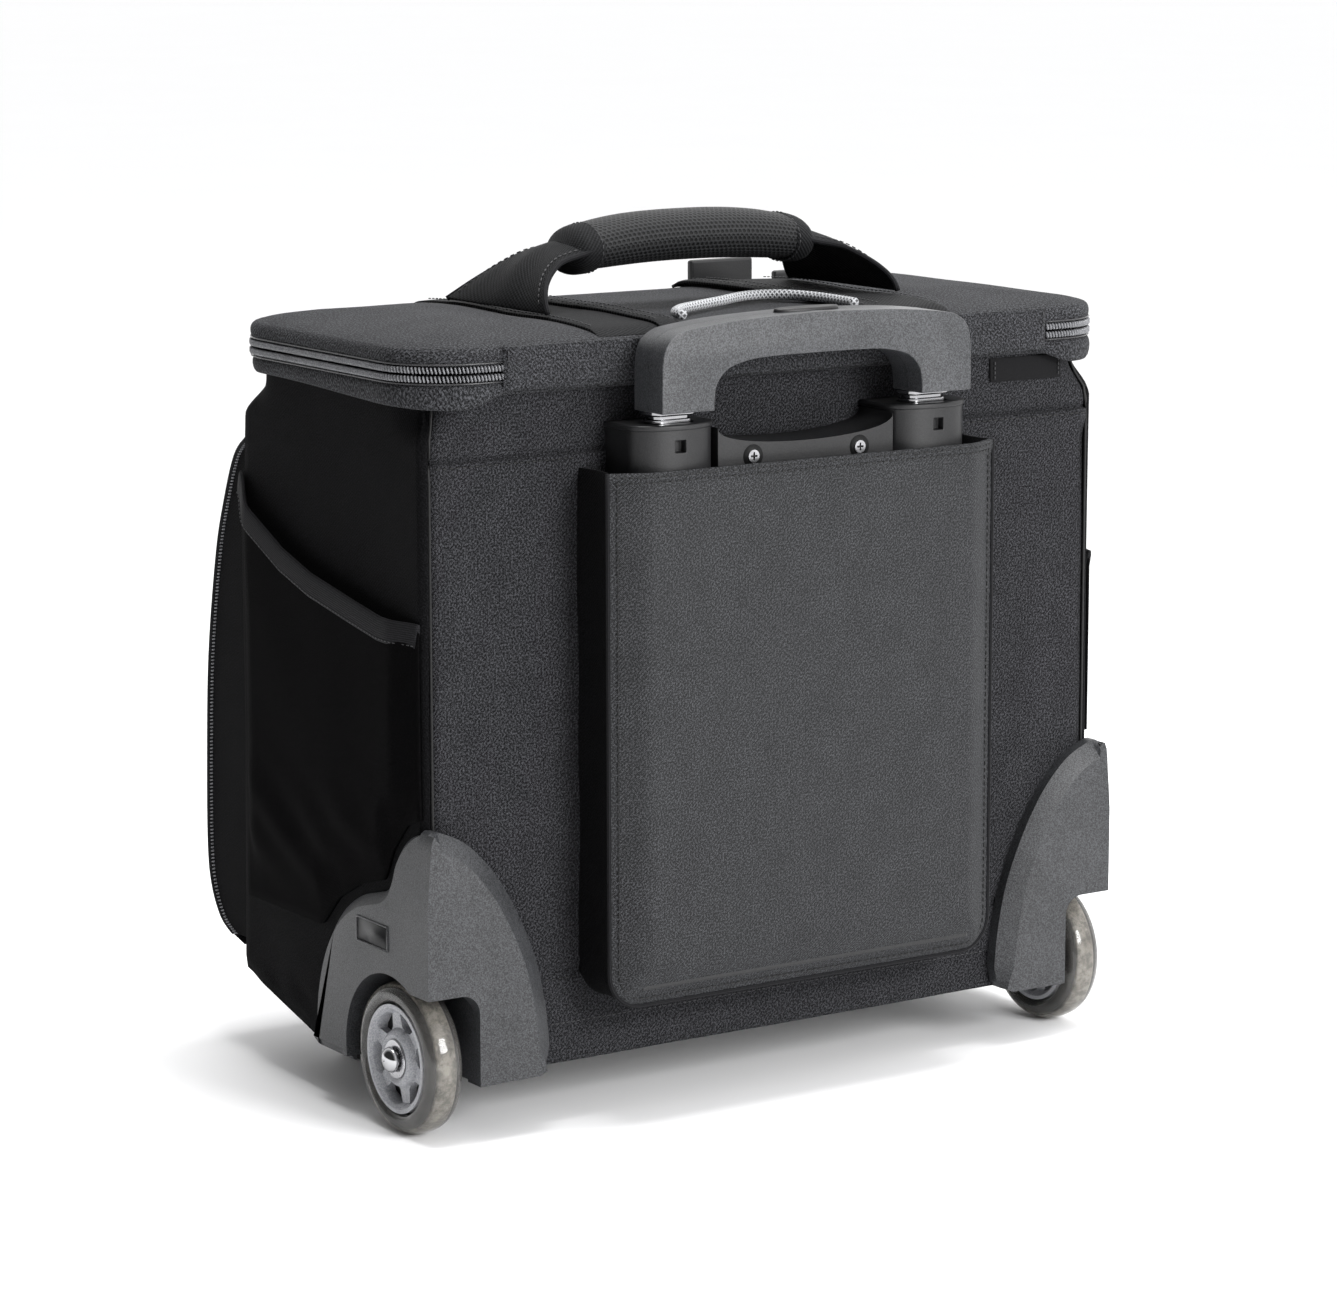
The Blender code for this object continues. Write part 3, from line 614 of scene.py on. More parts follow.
def stitch_line(body, path, normal, pitch=0.0036, length=0.0024, wide=0.00042, finish="thread"):
    """Thread stitches along a path on a surface; normal is a vector or a function of the point."""
    lift = 0.0003
    spots = STITCHES.setdefault((body, finish), [])
    route = evenly(path, pitch)
    for point, following in zip(route, route[1:]):
        ahead = following - point
        out = (normal(point) if callable(normal) else Vector(normal)).normalized()
        along = ahead.normalized() * (length / 2)
        across = along.cross(out).normalized() * wide
        spots.append((point + ahead / 2 + out * lift, along, across, out * wide * 0.8))


def wobble(point, amount, size, seed=0.0):
    """A small smooth wander of cloth, the same each run."""
    return amount * noise.noise(Vector((point.x / size + seed, point.y / size, point.z / size)))


def bump_at(value, centre, width):
    """1 at the centre, falling smoothly to 0 at width to either side."""
    away = abs(value - centre) / width
    return 0.0 if away >= 1 else 0.5 + 0.5 * math.cos(PI * away)


def ease(value, low, high):
    """0 up to low, 1 from high on, and a smooth rise between them."""
    t = min(max((value - low) / (high - low), 0.0), 1.0)
    return t * t * (3 - 2 * t)


def lerp(a, b, t):
    return a + (b - a) * t


def along_line(points, value):
    """The height of a polyline, given as (across, height) in rising order of across."""
    for (a, low), (b, high) in zip(points, points[1:]):
        if value <= b:
            return lerp(low, high, min(max((value - a) / (b - a), 0), 1))
    return points[-1][1]


# ---- plan outline of the lid ------------------------------------------------------------------
def plan_path(half, rear, front, radius, spacing, rear_gap=0.0):
    """A rounded rectangle from the rear, past the left side, as (point at height 0, outward)."""
    corners = (
        (half - radius, rear - radius, 90), (half - radius, front + radius, 0),
        (radius - half, front + radius, -90), (radius - half, rear - radius, -180),
    )
    backward = Vector((0, 1, 0))
    outline = [(Vector((rear_gap, rear, 0)), backward)]

    def walk_to(target, out, more=0):
        start = outline[-1][0]
        legs = max(1, round((target - start).length / spacing))
        for k in range(1, legs + more):
            outline.append((start.lerp(target, k / legs), out))

    steps = max(4, round(radius * PI / 2 / spacing))
    for x, depth, first in corners:
        turns = [math.radians(first - 90 * step / steps) for step in range(steps + 1)]
        outs = [Vector((math.cos(angle), math.sin(angle), 0)) for angle in turns]
        middle = Vector((x, depth, 0))
        walk_to(middle + outs[0] * radius, outs[0])
        outline += [(middle + out * radius, out) for out in outs]
    walk_to(Vector((-rear_gap, rear, 0)), backward, 1 if rear_gap else 0)
    return outline


def ring(name, path, profile, finish, body, closed=True):
    """Sweeps a profile of (out, height) pairs, or a function that gives one, along a plan path."""
    rows = []
    for spot, out in path:
        pairs = profile(spot) if callable(profile) else profile
        rows.append([at(spot.x + out.x * o, spot.y + out.y * o, z) for o, z in pairs])
    return surface(name, rows, finish, body, closed=(closed, True), caps=not closed)


# ---- camera, floor and light ------------------------------------------------------------------
def make_camera():
    data = bpy.data.cameras.new("camera")
    data.sensor_width = 36.0
    data.lens = 118.7
    camera = bpy.data.objects.new("camera", data)
    bpy.context.scene.collection.objects.link(camera)
    yaw, pitch, roll = (math.radians(value) for value in (33.44, -10.225, -0.1))
    ahead = Vector((-math.sin(yaw) * math.cos(pitch), -math.cos(yaw) * math.cos(pitch), math.sin(pitch)))
    turn = ahead.to_track_quat("-Z", "Y").to_matrix() @ Matrix.Rotation(roll, 3, "Z")
    camera.matrix_world = Matrix.Translation((1.2445, 1.889, 0.6175)) @ turn.to_4x4()
    bpy.context.scene.camera = camera


def area_light(name, place, target, size, power):
    data = bpy.data.lights.new(name, "AREA")
    data.shape = "RECTANGLE"
    data.size, data.size_y = size
    data.energy = power
    light = bpy.data.objects.new(name, data)
    light.location = place
    light.rotation_euler = (Vector(target) - Vector(place)).to_track_quat("-Z", "Y").to_euler()
    bpy.context.scene.collection.objects.link(light)


def make_studio():
    mesh = bpy.data.meshes.new("floor")
    mesh.from_pydata([(-60, -90, 0), (60, -90, 0), (60, 12, 0), (-60, 12, 0)], [], [(0, 1, 2, 3)])
    white = Shader("floor_paper", 0.9, Specular_IOR_Level=0.1)
    white.colour(
        white.mix(
            white.noise(white.coordinates(cloth=False), 3.0), (0.94, 0.94, 0.945), (0.955, 0.955, 0.96)
        )
    )
    mesh.materials.append(white.material)
    floor = bpy.data.objects.new("floor", mesh)
    bpy.context.scene.collection.objects.link(floor)
    world = bpy.data.worlds.new("studio")
    world.use_nodes = True
    sky = world.node_tree
    background = sky.nodes["Background"]
    background.inputs[0].default_value = (1, 1, 1, 1)
    place = sky.nodes.new("ShaderNodeTexCoord")
    split = sky.nodes.new("ShaderNodeSeparateXYZ")
    fall = sky.nodes.new("ShaderNodeMapRange")
    sky.links.new(place.outputs["Generated"], split.inputs[0])
    sky.links.new(split.outputs["X"], fall.inputs["Value"])
    for socket, value in (("From Min", -0.1), ("From Max", 0.6), ("To Min", 1.55), ("To Max", 0.05)):
        fall.inputs[socket].default_value = value
    sky.links.new(fall.outputs[0], background.inputs[1])
    bpy.context.scene.world = world
    bpy.context.scene.view_settings.view_transform = "Standard"
    area_light("key", (-0.5, 2.1, 0.95), (0, 0.1, 0.2), (0.8, 0.8), 46)
    area_light("top", (0.0, 0.1, 2.0), (0, 0, 0.3), (1.2, 0.8), 36)


# ---- cord -------------------------------------------------------------------------------------
def make_cord():
    """A braided pull loop, sewn into the lid's rear seam at both ends and lying on the lid."""
    radius = 0.0025
    height = LID_TOP + radius + 0.0004
    route = (
        (0.05, -0.006), (0.0475, -0.016), (0.036, -0.029), (0.018, -0.04), (-0.004, -0.052),
        (-0.024, -0.064), (-0.04, -0.067), (-0.05, -0.059), (-0.0545, -0.045), (-0.0555, -0.028),
        (-0.054, -0.006),
    )
    path = smooth_path([at(x, depth, height) for x, depth in route], 6)
    loop = tube("pull_loop", path, radius, "cord", "lid", sides=16)
    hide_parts("cord_loop")


# ---- body -------------------------------------------------------------------------------------
RISE = -0.112
FRONT_TOP, FRONT_FOOT, FRONT_FLOOR = -0.174, -0.186, 0.05
SEAM_X = HALF - 0.0046


def front_edge(height):
    return lerp(FRONT_TOP, FRONT_FOOT, (BODY_TOP - height) / (BODY_TOP - FRONT_FLOOR))


def floor_at(depth):
    return FLOOR if depth > RISE else lerp(FLOOR, FRONT_FLOOR, (RISE - depth) / (RISE - FRONT_FOOT))


def drawn_in(point):
    """The point moved in towards the lid's round corner, as the cloth is where the rim is sewn on."""
    amount, radius = ease(point.z, 0.34, 0.359), 0.029
    depth = point.y - BACK
    for edge, sign in ((0.0, 1), (front_edge(point.z), -1)):
        a, b = abs(point.x) - (HALF - radius), sign * (depth - edge) + radius
        if a > 0 and b > 0:
            scale = lerp(1.0, max(a, b) / math.hypot(a, b), amount)
            x = HALF - radius + a * scale
            return Vector((math.copysign(x, point.x), BACK + edge + sign * (b * scale - radius), point.z))
    return point


def well_cutter(side):
    """The room that the wheel housing takes out of the body's lower corner."""
    outline = [(WELL_FRONT, -0.02), (0.05, -0.02), (0.05, WELL_TOP), (WELL_FRONT, WELL_TOP)]
    return prism("well", outline, "side", (side * WELL_X, side * 0.26), "nylon")


def make_side(name, side):
    """A side wall that turns the rear corner and is sewn to the back."""
    turn, rows = 0.004, []
    levels = [k / 44 for k in range(41)] + [(40 + k / 3) / 44 for k in range(1, 13)]
    for level in levels:
        row = []
        for k in range(49):
            if k < 38:
                share = k / 38
                spot, out = (
                    HALF, lerp(front_edge(lerp(FRONT_FLOOR, WALL_TOP, level)), -turn, share)
                ), (1, 0)
            elif k < 47:
                angle = (k - 38) / 9 * PI / 2
                out = (math.cos(angle), math.sin(angle))
                spot = (HALF - turn + turn * out[0], -turn + turn * out[1])
            else:
                out = (0, 1)
                spot = (HALF - turn - (k - 47) * 0.0005, -0.0004 - (k - 47) * 0.0012)
            height = lerp(floor_at(spot[1]), WALL_TOP, level)
            point = at(side * spot[0], spot[1], height)
            dip = 0.0005 + wobble(point, 0.0011, 0.07, 3.0) - 0.0012 * bump_at(height, 0.049, 0.004)
            row.append(drawn_in(point + Vector((side * out[0], out[1], 0)) * (dip - 0.0006)))
        rows.append(row)
    wall = surface(f"side_wall_{name}", rows, "nylon", "case", outward=(side, 0, 0))
    trimmed(wall, in_well)
    thick(wall, 0.0052)
    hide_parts(f"side_panel_{name}")
    edge = [
        drawn_in(at(side * (SEAM_X + 0.0002), 0.0002, lerp(0.0885, WALL_TOP, k / 40))) for k in range(41)
    ]
    # A thin near-black tube in the corner seam: painted shade in the seam's crease.
    tube(f"corner_seam_shade_{name}", edge, 0.0007, "shadow", "case", sides=8)


def make_back():
    rows = []
    heights = [lerp(FLOOR, WALL_TOP, j / 130) for j in range(131)]
    heights += [0.3316, 0.3322, 0.3328, 0.3332, 0.3336, 0.334, 0.3346]
    for height in sorted(heights):
        row = []
        for i in range(81):
            x = lerp(-SEAM_X, SEAM_X, i / 80)
            point = at(x, 0, height)
            rise = 0.0004 + wobble(point, 0.0016, 0.06) * (1 - bump_at(height, 0.3315, 0.016))
            rise += 0.0016 * ease(height, 0.318, 0.33) * (1 - ease(height, 0.333, 0.3338))
            rise -= 0.0014 * bump_at(height, 0.334, 0.0016)
            rise -= 0.0016 * bump_at(height, 0.0758, 0.0035) + 0.0016 * bump_at(height, 0.048, 0.003)
            rise -= 0.001 * ease(abs(x), SEAM_X - 0.004, SEAM_X)
            row.append(drawn_in(at(x, min(rise, 0.0024), height)))
        rows.append(row)
    back = surface("back_wall", rows, "twill", "case", outward=(0, 1, 0))
    trimmed(back, in_well)
    thick(back, 0.0008)
    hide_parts("back_panel")
    rows = []
    for j in range(41):
        height = lerp(FLOOR + 0.004, WALL_TOP, j / 40)
        rows.append([drawn_in(at(lerp(-0.1965, 0.1965, i / 60), -0.0052, height)) for i in range(61)])
    lining = surface("back_lining", rows, "lining", "case", outward=(0, -1, 0))
    trimmed(lining, in_well)
    thick(lining, 0.0006)
    for side in (1, -1):
        for height in (0.3312, 0.0735):
            out = 0.0021 if height > 0.3 else 0.0014
            line = [at(side * lerp(0.118, SEAM_X - 0.002, k / 20), out, height) for k in range(21)]
            if height == 0.0735:
                line = line[:6]
            # These stitches use the darker thread copy, which is painted shade.
            stitch_line("case", line, (0, 1, 0), finish="thread_dark")
    foot = [at(lerp(-0.134, 0.134, k / 40), 0.0012, 0.0505) for k in range(41)]
    stitch_line("case", foot, (0, 1, 0), pitch=0.003, length=0.0019, wide=0.0003)


def make_base():
    """The floor of the case: its profile is the same all across, but for the wheel corners."""
    sheet = 0.005
    profile = [
        (-0.001, FLOOR), (RISE, FLOOR), (FRONT_FOOT, FRONT_FLOOR), (
            FRONT_FOOT + 0.001, FRONT_FLOOR + sheet
        ),
        (RISE, FLOOR + sheet), (-0.001, FLOOR + sheet),
    ]
    floor = prism("base", profile, "side", (-HALF + 0.001, HALF - 0.001), "nylon")
    carved(floor, well_cutter(1), well_cutter(-1))
    softened(floor, 0.0012, 2)
    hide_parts("base_panel")


def padded_wall(name, place, finish, node, thickness):
    """A quilted inner wall: place gives a point and its normal from (across, up), both from 0 to 1."""
    cells, puff = (28, 20), 0.0015
    rows = []
    for j in range(cells[1] + 1):
        row = []
        for i in range(cells[0] + 1):
            point, normal = place(i / cells[0], j / cells[1])
            edge = min(i / cells[0], 1 - i / cells[0], j / cells[1], 1 - j / cells[1])
            row.append(point + normal * puff * (ease(edge, 0, 0.06) - 1))
        rows.append(row)
    wall = surface(name, rows, finish, "case", outward=place(0.5, 0.5)[1])
    thick(wall, thickness)
    rounder(softened(wall, 0.0015, 2), 1)
    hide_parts(node)


def make_inner_walls():
    def bulkhead(u, v):
        height = lerp(0.0562, BODY_TOP, v)
        return drawn_in(at(lerp(-0.1965, 0.1965, u), front_edge(height), height)), Vector((0, -1, 0))

    def divider(u, v):
        return at(lerp(-0.196, 0.196, u), -0.089, lerp(0.036, 0.33, v)), Vector((0, 1, 0))

    padded_wall("front_bulkhead_wall", bulkhead, "nylon", "front_bulkhead", 0.0055)
    padded_wall("divider_wall", divider, "lining", "padded_divider", 0.0058)
    edge = [at(lerp(-0.194, 0.194, k / 30), -0.092, 0.33) for k in range(31)]
    tube("divider_binding", edge, 0.003, "binding", "case", sides=12)


# ---- side pockets -----------------------------------------------------------------------------
POCKET_TOP = (
    (-0.178, 0.31), (-0.16, 0.294), (-0.125, 0.278), (-0.095, 0.269), (-0.057, 0.262),
    (-0.028, 0.257), (-0.002, 0.256),
)
POCKET_FOOT = (
    (-0.178, 0.0905), (-0.1, 0.0905), (-0.082, 0.108), (-0.06, 0.119), (-0.036, 0.126),
    (-0.028, 0.142), (-0.014, 0.157), (-0.002, 0.161),
)


def make_side_pocket(name, side):
    """A stretch pocket: flat at its sewn edges, and standing a little off the wall at its mouth."""
    def face(depth, share):
        top, foot = along_line(POCKET_TOP, depth), along_line(POCKET_FOOT, depth)
        height = lerp(foot, top, share)
        slack = ease(depth, -0.18, -0.16) * (1 - ease(depth, -0.02, -0.001)) * ease(share, 0.0, 0.25)
        point = at(side * HALF, depth, height)
        folds = wobble(point, 0.0018, 0.045, 7.0) * (1 - share * 0.7)
        tug = 0.0009 * math.sin((depth * 0.7 + height) * 190) * bump_at(height, 0.125, 0.06)
        return point + Vector((side * (0.0016 + slack * (0.0062 + folds + tug)), 0, 0))

    rows = [[face(lerp(-0.178, -0.002, i / 60), j / 44) for i in range(61)] for j in range(45)]
    pocket = surface(f"pocket_{name}", rows, "stretch", "case", outward=(side, 0, 0))
    thick(pocket, 0.0014)
    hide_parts(f"side_pocket_{name}")
    rows = []
    for i in range(61):
        depth = lerp(-0.1785, -0.0015, i / 60)
        top = face(depth, 1.0)
        across = Vector((0, 0.22, 1)).normalized()
        row = []
        for k in range(16):
            angle = 2 * PI * k / 16
            c, s = math.cos(angle), math.sin(angle)
            flat = math.copysign(abs(c) ** 0.6, c) * 0.0064
            row.append(
                top + across * (flat - 0.0052)
                + Vector((side * (math.copysign(abs(s) ** 0.8, s) * 0.0013 - 0.0003), 0, 0))
            )
        rows.append(row)
    binding = surface(f"binding_{name}", rows, "binding", "case", closed=(False, True), caps=True)
    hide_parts(f"pocket_binding_{name}")
    low = [row[8] + Vector((side * 0.001, 0, 0.0016)) for row in rows]
    stitch_line("case", low, (side, 0, 0), pitch=0.0028, length=0.0018, wide=0.0003)


# ---- front pocket -----------------------------------------------------------------------------
COVER_OUTER = (
    (-0.184, 0.334), (-0.2, 0.323), (-0.213, 0.295), (-0.223, 0.266), (-0.234, 0.209),
    (-0.238, 0.152), (-0.239, 0.105), (-0.235, 0.081), (-0.224, 0.063), (-0.208, 0.055),
)
COVER_INNER = (
    (-0.1805, 0.3265), (-0.193, 0.316), (-0.205, 0.291), (-0.2145, 0.263), (-0.225, 0.2085),
    (-0.229, 0.152), (-0.23, 0.106), (-0.2265, 0.085), (-0.2175, 0.0705), (-0.206, 0.064),
)
COVER_HALF = 0.199


def side_curve(points, steps=6):
    """A smooth outline in (depth, height), or in (x, height), through the given points."""
    return [(p.x, p.y) for p in smooth_path([Vector((a, b, 0)) for a, b in points], steps)]


def make_front_pocket():
    inner = side_curve(COVER_INNER)
    outline = [(-0.1758, 0.3265)] + inner + [(-0.1858, 0.064)]
    tray = prism("tray_wall", outline, "side", (-COVER_HALF, COVER_HALF), "nylon")
    outline = [(-0.26, 0.0685), (-0.16, 0.0685), (-0.16, 0.319), (-0.26, 0.319)]
    room = prism("tray_room", outline, "side", (0.0035 - COVER_HALF, COVER_HALF - 0.0035), "nylon")
    carved(tray, room)
    softened(tray, 0.001, 2)
    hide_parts("front_tray")
    outer = side_curve(COVER_OUTER)
    rows = []
    for i in range(61):
        across = lerp(-1, 1, i / 60)
        reach = COVER_HALF - 0.006 + 0.006 * abs(across)
        roll = ease(1 - abs(across), 0, 0.045)
        row = []
        for k, (out, back) in enumerate(zip(outer, inner)):
            share = 0.12 + 0.88 * roll
            depth, height = lerp(back[0], out[0], share), lerp(back[1], out[1], share)
            point = at(across * reach, depth, height)
            puff = 0.002 * ease(1 - abs(across), 0.05, 0.5) + wobble(point, 0.0016, 0.08, 11.0)
            row.append(point + Vector((0, -1, 0)) * puff * bump_at(k / len(outer), 0.5, 0.5))
        rows.append(row)
    cover = surface("cover", rows, "nylon", "front_flap", outward=(0, -1, 0))
    thick(cover, 0.003)
    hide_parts("front_cover")
    for side in (1, -1):
        edge = [at(side * (COVER_HALF - 0.0004), d - 0.001, z) for d, z in inner]
        label = "left" if side > 0 else "right"
        tube(
            f"cover_piping_{label}", edge, 0.0016, "binding", "front_flap", sides=10, up=Vector((1, 0, 0))
        )
    edge = [at(COVER_HALF - 0.0002, d + 0.0022, z) for d, z in reversed(inner)]
    edge += [at(-COVER_HALF + 0.0002, d + 0.0022, z) for d, z in inner]

    def out_of_tray(p):
        return Vector(
            (math.copysign(1, p.x), 0, 0)
        ) if abs(p.x) > COVER_HALF - 0.002 else Vector((0, -0.4, 1))

    coil("front_zip", edge, out_of_tray, Vector((0, 1, 0)), 0.0011, "case")


# ---- zips -------------------------------------------------------------------------------------
def coil(name, path, out_of, across, reach, body):
    """The moulded teeth of a zip: short slanted bars along a path."""
    spots = []
    route = evenly(path, 0.0019)
    for point, following in zip(route, route[1:]):
        ahead = (following - point).normalized()
        out = out_of(point).normalized()
        flat = (across - out * across.dot(out)).normalized()
        lean = (flat + ahead * 0.3).normalized()
        side = lean.cross(out).normalized()
        spots.append((point, lean * reach, side * 0.00062, out * 0.0014))
    return beads(name, spots, "coil", body)


def zip_run(out, height):
    """The lid's zip line from its rear left end, round the front, to its rear right end."""
    return [at(p.x + n.x * out, p.y + n.y * out, height) for p, n in LID_RUN]


LID_RUN = plan_path(LID_HALF, LID_REAR, LID_FRONT, LID_CORNER, 0.006, rear_gap=ZIP_END)
LID_LOOP = plan_path(LID_HALF, LID_REAR, LID_FRONT, LID_CORNER, 0.006)


def outward(point):
    """The lid outline's outward direction at a point near it."""
    x, depth = point.x, point.y - BACK
    core = Vector((LID_HALF - LID_CORNER, (LID_REAR - LID_FRONT) / 2 - LID_CORNER, 0))
    middle = (LID_REAR + LID_FRONT) / 2
    away = Vector((
        math.copysign(max(abs(x) - core.x, 0), x), math.copysign(
            max(abs(depth - middle) - core.y, 0), depth - middle
        ), 0,
    ))
    return away.normalized() if away.length > 1e-6 else Vector((0, 1, 0))


def lip_foot(spot):
    """How far down the rim's lip hangs: lowest at the rear corners, tucked up along the back."""
    rear = ease(spot.y, LID_REAR - 0.03, LID_REAR)
    inward = ease(abs(spot.x), 0.15, 0.185)
    front = 0.0034 * (1 - ease(spot.y, LID_REAR - 0.15, LID_REAR - 0.02))
    return 0.3595 + front + 0.0085 * rear * (1 - inward) - 0.0012 * rear * inward


def make_rim():
    def section(spot):
        foot = lip_foot(spot)
        flare = 0.0016 * ease(abs(spot.x), 0.15, 0.19) * ease(spot.y, LID_REAR - 0.09, LID_REAR)
        top = 0.3722 if spot.y > LID_REAR - 0.012 and abs(spot.x) < 0.165 else 0.3738
        return [
            (-0.0142, 0.3628), (-0.0142, top - 0.0004), (-0.005, top), (-0.0004, 0.3722),
            (0.0006 + flare, 0.369), (0.0004 + flare, lerp(foot, 0.3722, 0.35)), (-0.001 + flare, foot),
            (-0.003, foot + 0.001), (-0.0052, 0.364),
        ]

    rim = ring("rim_lip", LID_LOOP, section, "lid", "case")
    rounder(rim, 1)
    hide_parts("rim_band")
    ring(
        "case_zip_tape", LID_RUN, [
            (-0.0012, 0.3715), (0.0000, 0.3718), (0.0002, 0.3758), (-0.003, 0.376)
        ],
        "tape", "case", closed=False,
    )
    coil("case_zip", zip_run(0.0006, 0.3742), outward, Vector((0, 0, 1)), 0.0017, "case")
    # The case tape's edge cord: its lighter colour is painted highlight.
    tube("case_zip_edge", zip_run(0.0008, 0.3718), 0.00045, "tape_edge_highlight", "case", sides=8)


def lid_reach(depth):
    """Half the lid's width at a depth, inside its rounded outline."""
    for end, inside in ((LID_REAR, LID_REAR - LID_CORNER), (LID_FRONT, LID_FRONT + LID_CORNER)):
        away = (depth - inside) if end == LID_REAR else (inside - depth)
        if away > 0:
            return LID_HALF - LID_CORNER + math.sqrt(max(LID_CORNER**2 - min(away, LID_CORNER)**2, 0))
    return LID_HALF


def lid_inset(x, depth):
    """How far a place lies inside the lid's outline."""
    core = (LID_HALF - LID_CORNER, (LID_REAR - LID_FRONT) / 2 - LID_CORNER)
    a, b = abs(x) - core[0], abs(depth - (LID_REAR + LID_FRONT) / 2) - core[1]
    return LID_CORNER - (math.hypot(max(a, 0), max(b, 0)) + min(max(a, b), 0))


def lid_height(x, depth):
    inset = lid_inset(x, depth)
    wing = ease(abs(x), 0.1, 0.125)
    height = 0.3878 + 0.005 * (1 - math.exp(-max(inset, 0) / 0.012))
    height += 0.003 * wing * ease(inset, 0.01, 0.06)
    height -= 0.0009 * (1 - ease(abs(x), 0.05, 0.062)) * ease(inset, 0.0, 0.02)
    return height + wobble(Vector((x, depth, 0)), 0.0009, 0.05, 5.0) * ease(inset, 0.004, 0.03)


def make_lid():
    rows = []
    depths = [
        LID_REAR - 0.0015 - (LID_REAR - LID_FRONT - 0.003) * (0.5 - 0.5 * math.cos(PI * k / 64))
        for k in range(65)
    ]
    for depth in depths:
        reach = lid_reach(depth) - 0.0012
        rows.append([
            at(x, depth, lid_height(x, depth)) for x in (
                reach * math.sin(PI / 2 * lerp(-1, 1, i / 100)) for i in range(101)
            )
        ])
    top = surface("lid_top", rows, "lid", "lid", outward=(0, 0, 1))
    cloth_from_above(top)
    edge = ring(
        "lid_edge", LID_LOOP,
        [
            (0.0002, 0.3804), (0.0012, 0.3822), (0.0014, 0.385), (0.0006, 0.3876), (-0.0022, 0.3892),
            (-0.006, 0.389), (-0.012, 0.388), (-0.013, 0.3768), (-0.004, 0.3766), (-0.0008, 0.3784),
        ],
        "lid", "lid",
    )
    rounder(edge, 1)
    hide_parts("lid_panel")
    rows = [[at(p.x, p.y - BACK, 0.3776) for p in row[::4]] for row in rows[2:-2:4]]
    lining = surface("lid_lining", rows, "lining", "lid", outward=(0, 0, -1))
    cloth_from_above(lining)
    ring(
        "lid_zip_tape", LID_RUN, [
            (-0.003, 0.3766), (0.0002, 0.3768), (0.0000, 0.3808), (-0.0012, 0.381)
        ],
        "tape", "lid", closed=False,
    )
    coil("lid_zip", zip_run(0.0006, 0.3784), outward, Vector((0, 0, 1)), 0.0017, "lid")
    # The lid tape's edge cord: its lighter colour is painted highlight.
    tube("lid_zip_edge", zip_run(0.001, 0.3811), 0.00045, "tape_edge_highlight", "lid", sides=8)
    rows = []
    for j in range(17):
        share = j / 16
        height = lerp(0.3882, 0.367, share)
        depth = LID_REAR + 0.0022 - 0.001 * share - 0.0012 * ease(share, 0.85, 1.0)
        row = []
        for i in range(61):
            x = lerp(-ZIP_END, ZIP_END, i / 60)
            sag = 0.0012 * (1 - abs(x) / ZIP_END) * share
            point = at(x, depth, height - sag)
            row.append(point + Vector((0, wobble(point, 0.0012, 0.03, 2.0) * ease(share, 0, 0.3), 0)))
        rows.append(row)
    band = surface("rear_band", rows, "lid", None, outward=(0, 1, 0))
    thick(band, 0.0022)
    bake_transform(band)
    for side in (1, -1):
        line = [
            at(side * (ZIP_END - 0.0022), LID_REAR + 0.0024, lerp(0.37, 0.3868, k / 6))
            for k in range(7)
        ]
        stitch_line("lid", line[3:], (0, 1, 0), pitch=0.0026, length=0.0018)


def cloth_from_above(obj):
    layer = obj.data.uv_layers.active.data
    for loop in obj.data.loops:
        spot = obj.data.vertices[loop.vertex_index].co
        layer[loop.index].uv = (spot.x, spot.y)


# ---- lid straps and grab handle ---------------------------------------------------------------
def make_lid_strap(name, side):
    """A webbing strip along the lid, with a narrow raised binding beside it."""
    def strip(label, near, far, lift, finish):
        rows = []
        for k in range(61):
            depth = lerp(-0.1765, 0.006, k / 60)
            drop = 0.0035 * ease(depth, -0.002, 0.006) + 0.0035 * ease(-depth, 0.168, 0.1765)
            row = []
            for i in range(9):
                x = lerp(near, far, i / 8)
                crown = 0.0004 * (1 - (2 * i / 8 - 1) ** 4)
                row.append(at(side * x, depth, lid_height(x, depth) + lift + crown - drop * 0.4))
            rows.append(row)
        made = surface(label, rows, finish, "lid", outward=(0, 0, 1))
        thick(made, 0.0016)
        softened(made, 0.0004, 2)
        return made

    base = strip(f"strap_base_{name}", 0.06, 0.106, 0.0014, "webbing")
    strip(f"strap_edge_{name}", 0.056, 0.069, 0.0032, "webbing")
    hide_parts(f"lid_strap_{name}")
    for x in (0.1043, 0.0585, 0.0672):
        lift = 0.0022 if x > 0.1 else 0.0039
        line = [
            at(side * x, lerp(-0.16, -0.004, k / 60), lid_height(x, lerp(-0.16, -0.004, k / 60)) + lift)
            for k in range(61)
        ]
        stitch_line("lid", line, (0, 0, 1))


def make_grab_strap(name, side):
    """A webbing panel, wide where it is sewn to the lid, that narrows and folds into the padded grip."""
    rows = []
    for k in range(41):
        share = k / 40
        centre, half = lerp(-0.089, -0.082, share), lerp(0.052, 0.0185, ease(share, -0.25, 0.95))
        row = []
        for i in range(33):
            v = 2 * i / 32 - 1
            lag = lerp(0.95, 1.75, (v + 1) / 2)
            x = lerp(0.1064, 0.064, share**lag)
            bulge = 0.005 * math.sin(PI * share) * (1 - v * v)
            bulge += 0.003 * math.sin(PI * share) * (1 - v) / 2
            z = lerp(0.3962, 0.4285, share ** lerp(1.0, 0.85, (v + 1) / 2)) + bulge
            z -= 0.0045 * v * v * ease(share, 0.6, 1.0)
            wave = 0.0008 * math.sin(v * 7 + share * 3) * math.sin(PI * share)
            row.append(at(side * (x + wave), centre + v * half, z))
        rows.append(row)
    strap = surface(f"grab_strap_{name}_webbing", rows, "webbing", "lid", outward=(side, 0, 0.5))
    thick(strap, 0.0018, 0)
    softened(strap, 0.0005, 2)
    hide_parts(f"grab_strap_{name}")
    for column in (0, 32):
        hem = [row[column] for row in rows]
        tube(f"strap_hem_{name}_{column}", hem, 0.0014, "binding", "lid", sides=10)
    for column in (2, 30):
        line = [row[column] + Vector((side * 0.0008, 0, 0.0009)) for row in rows[2:]]
        stitch_line("lid", line, (side * 0.6, 0, 0.8))


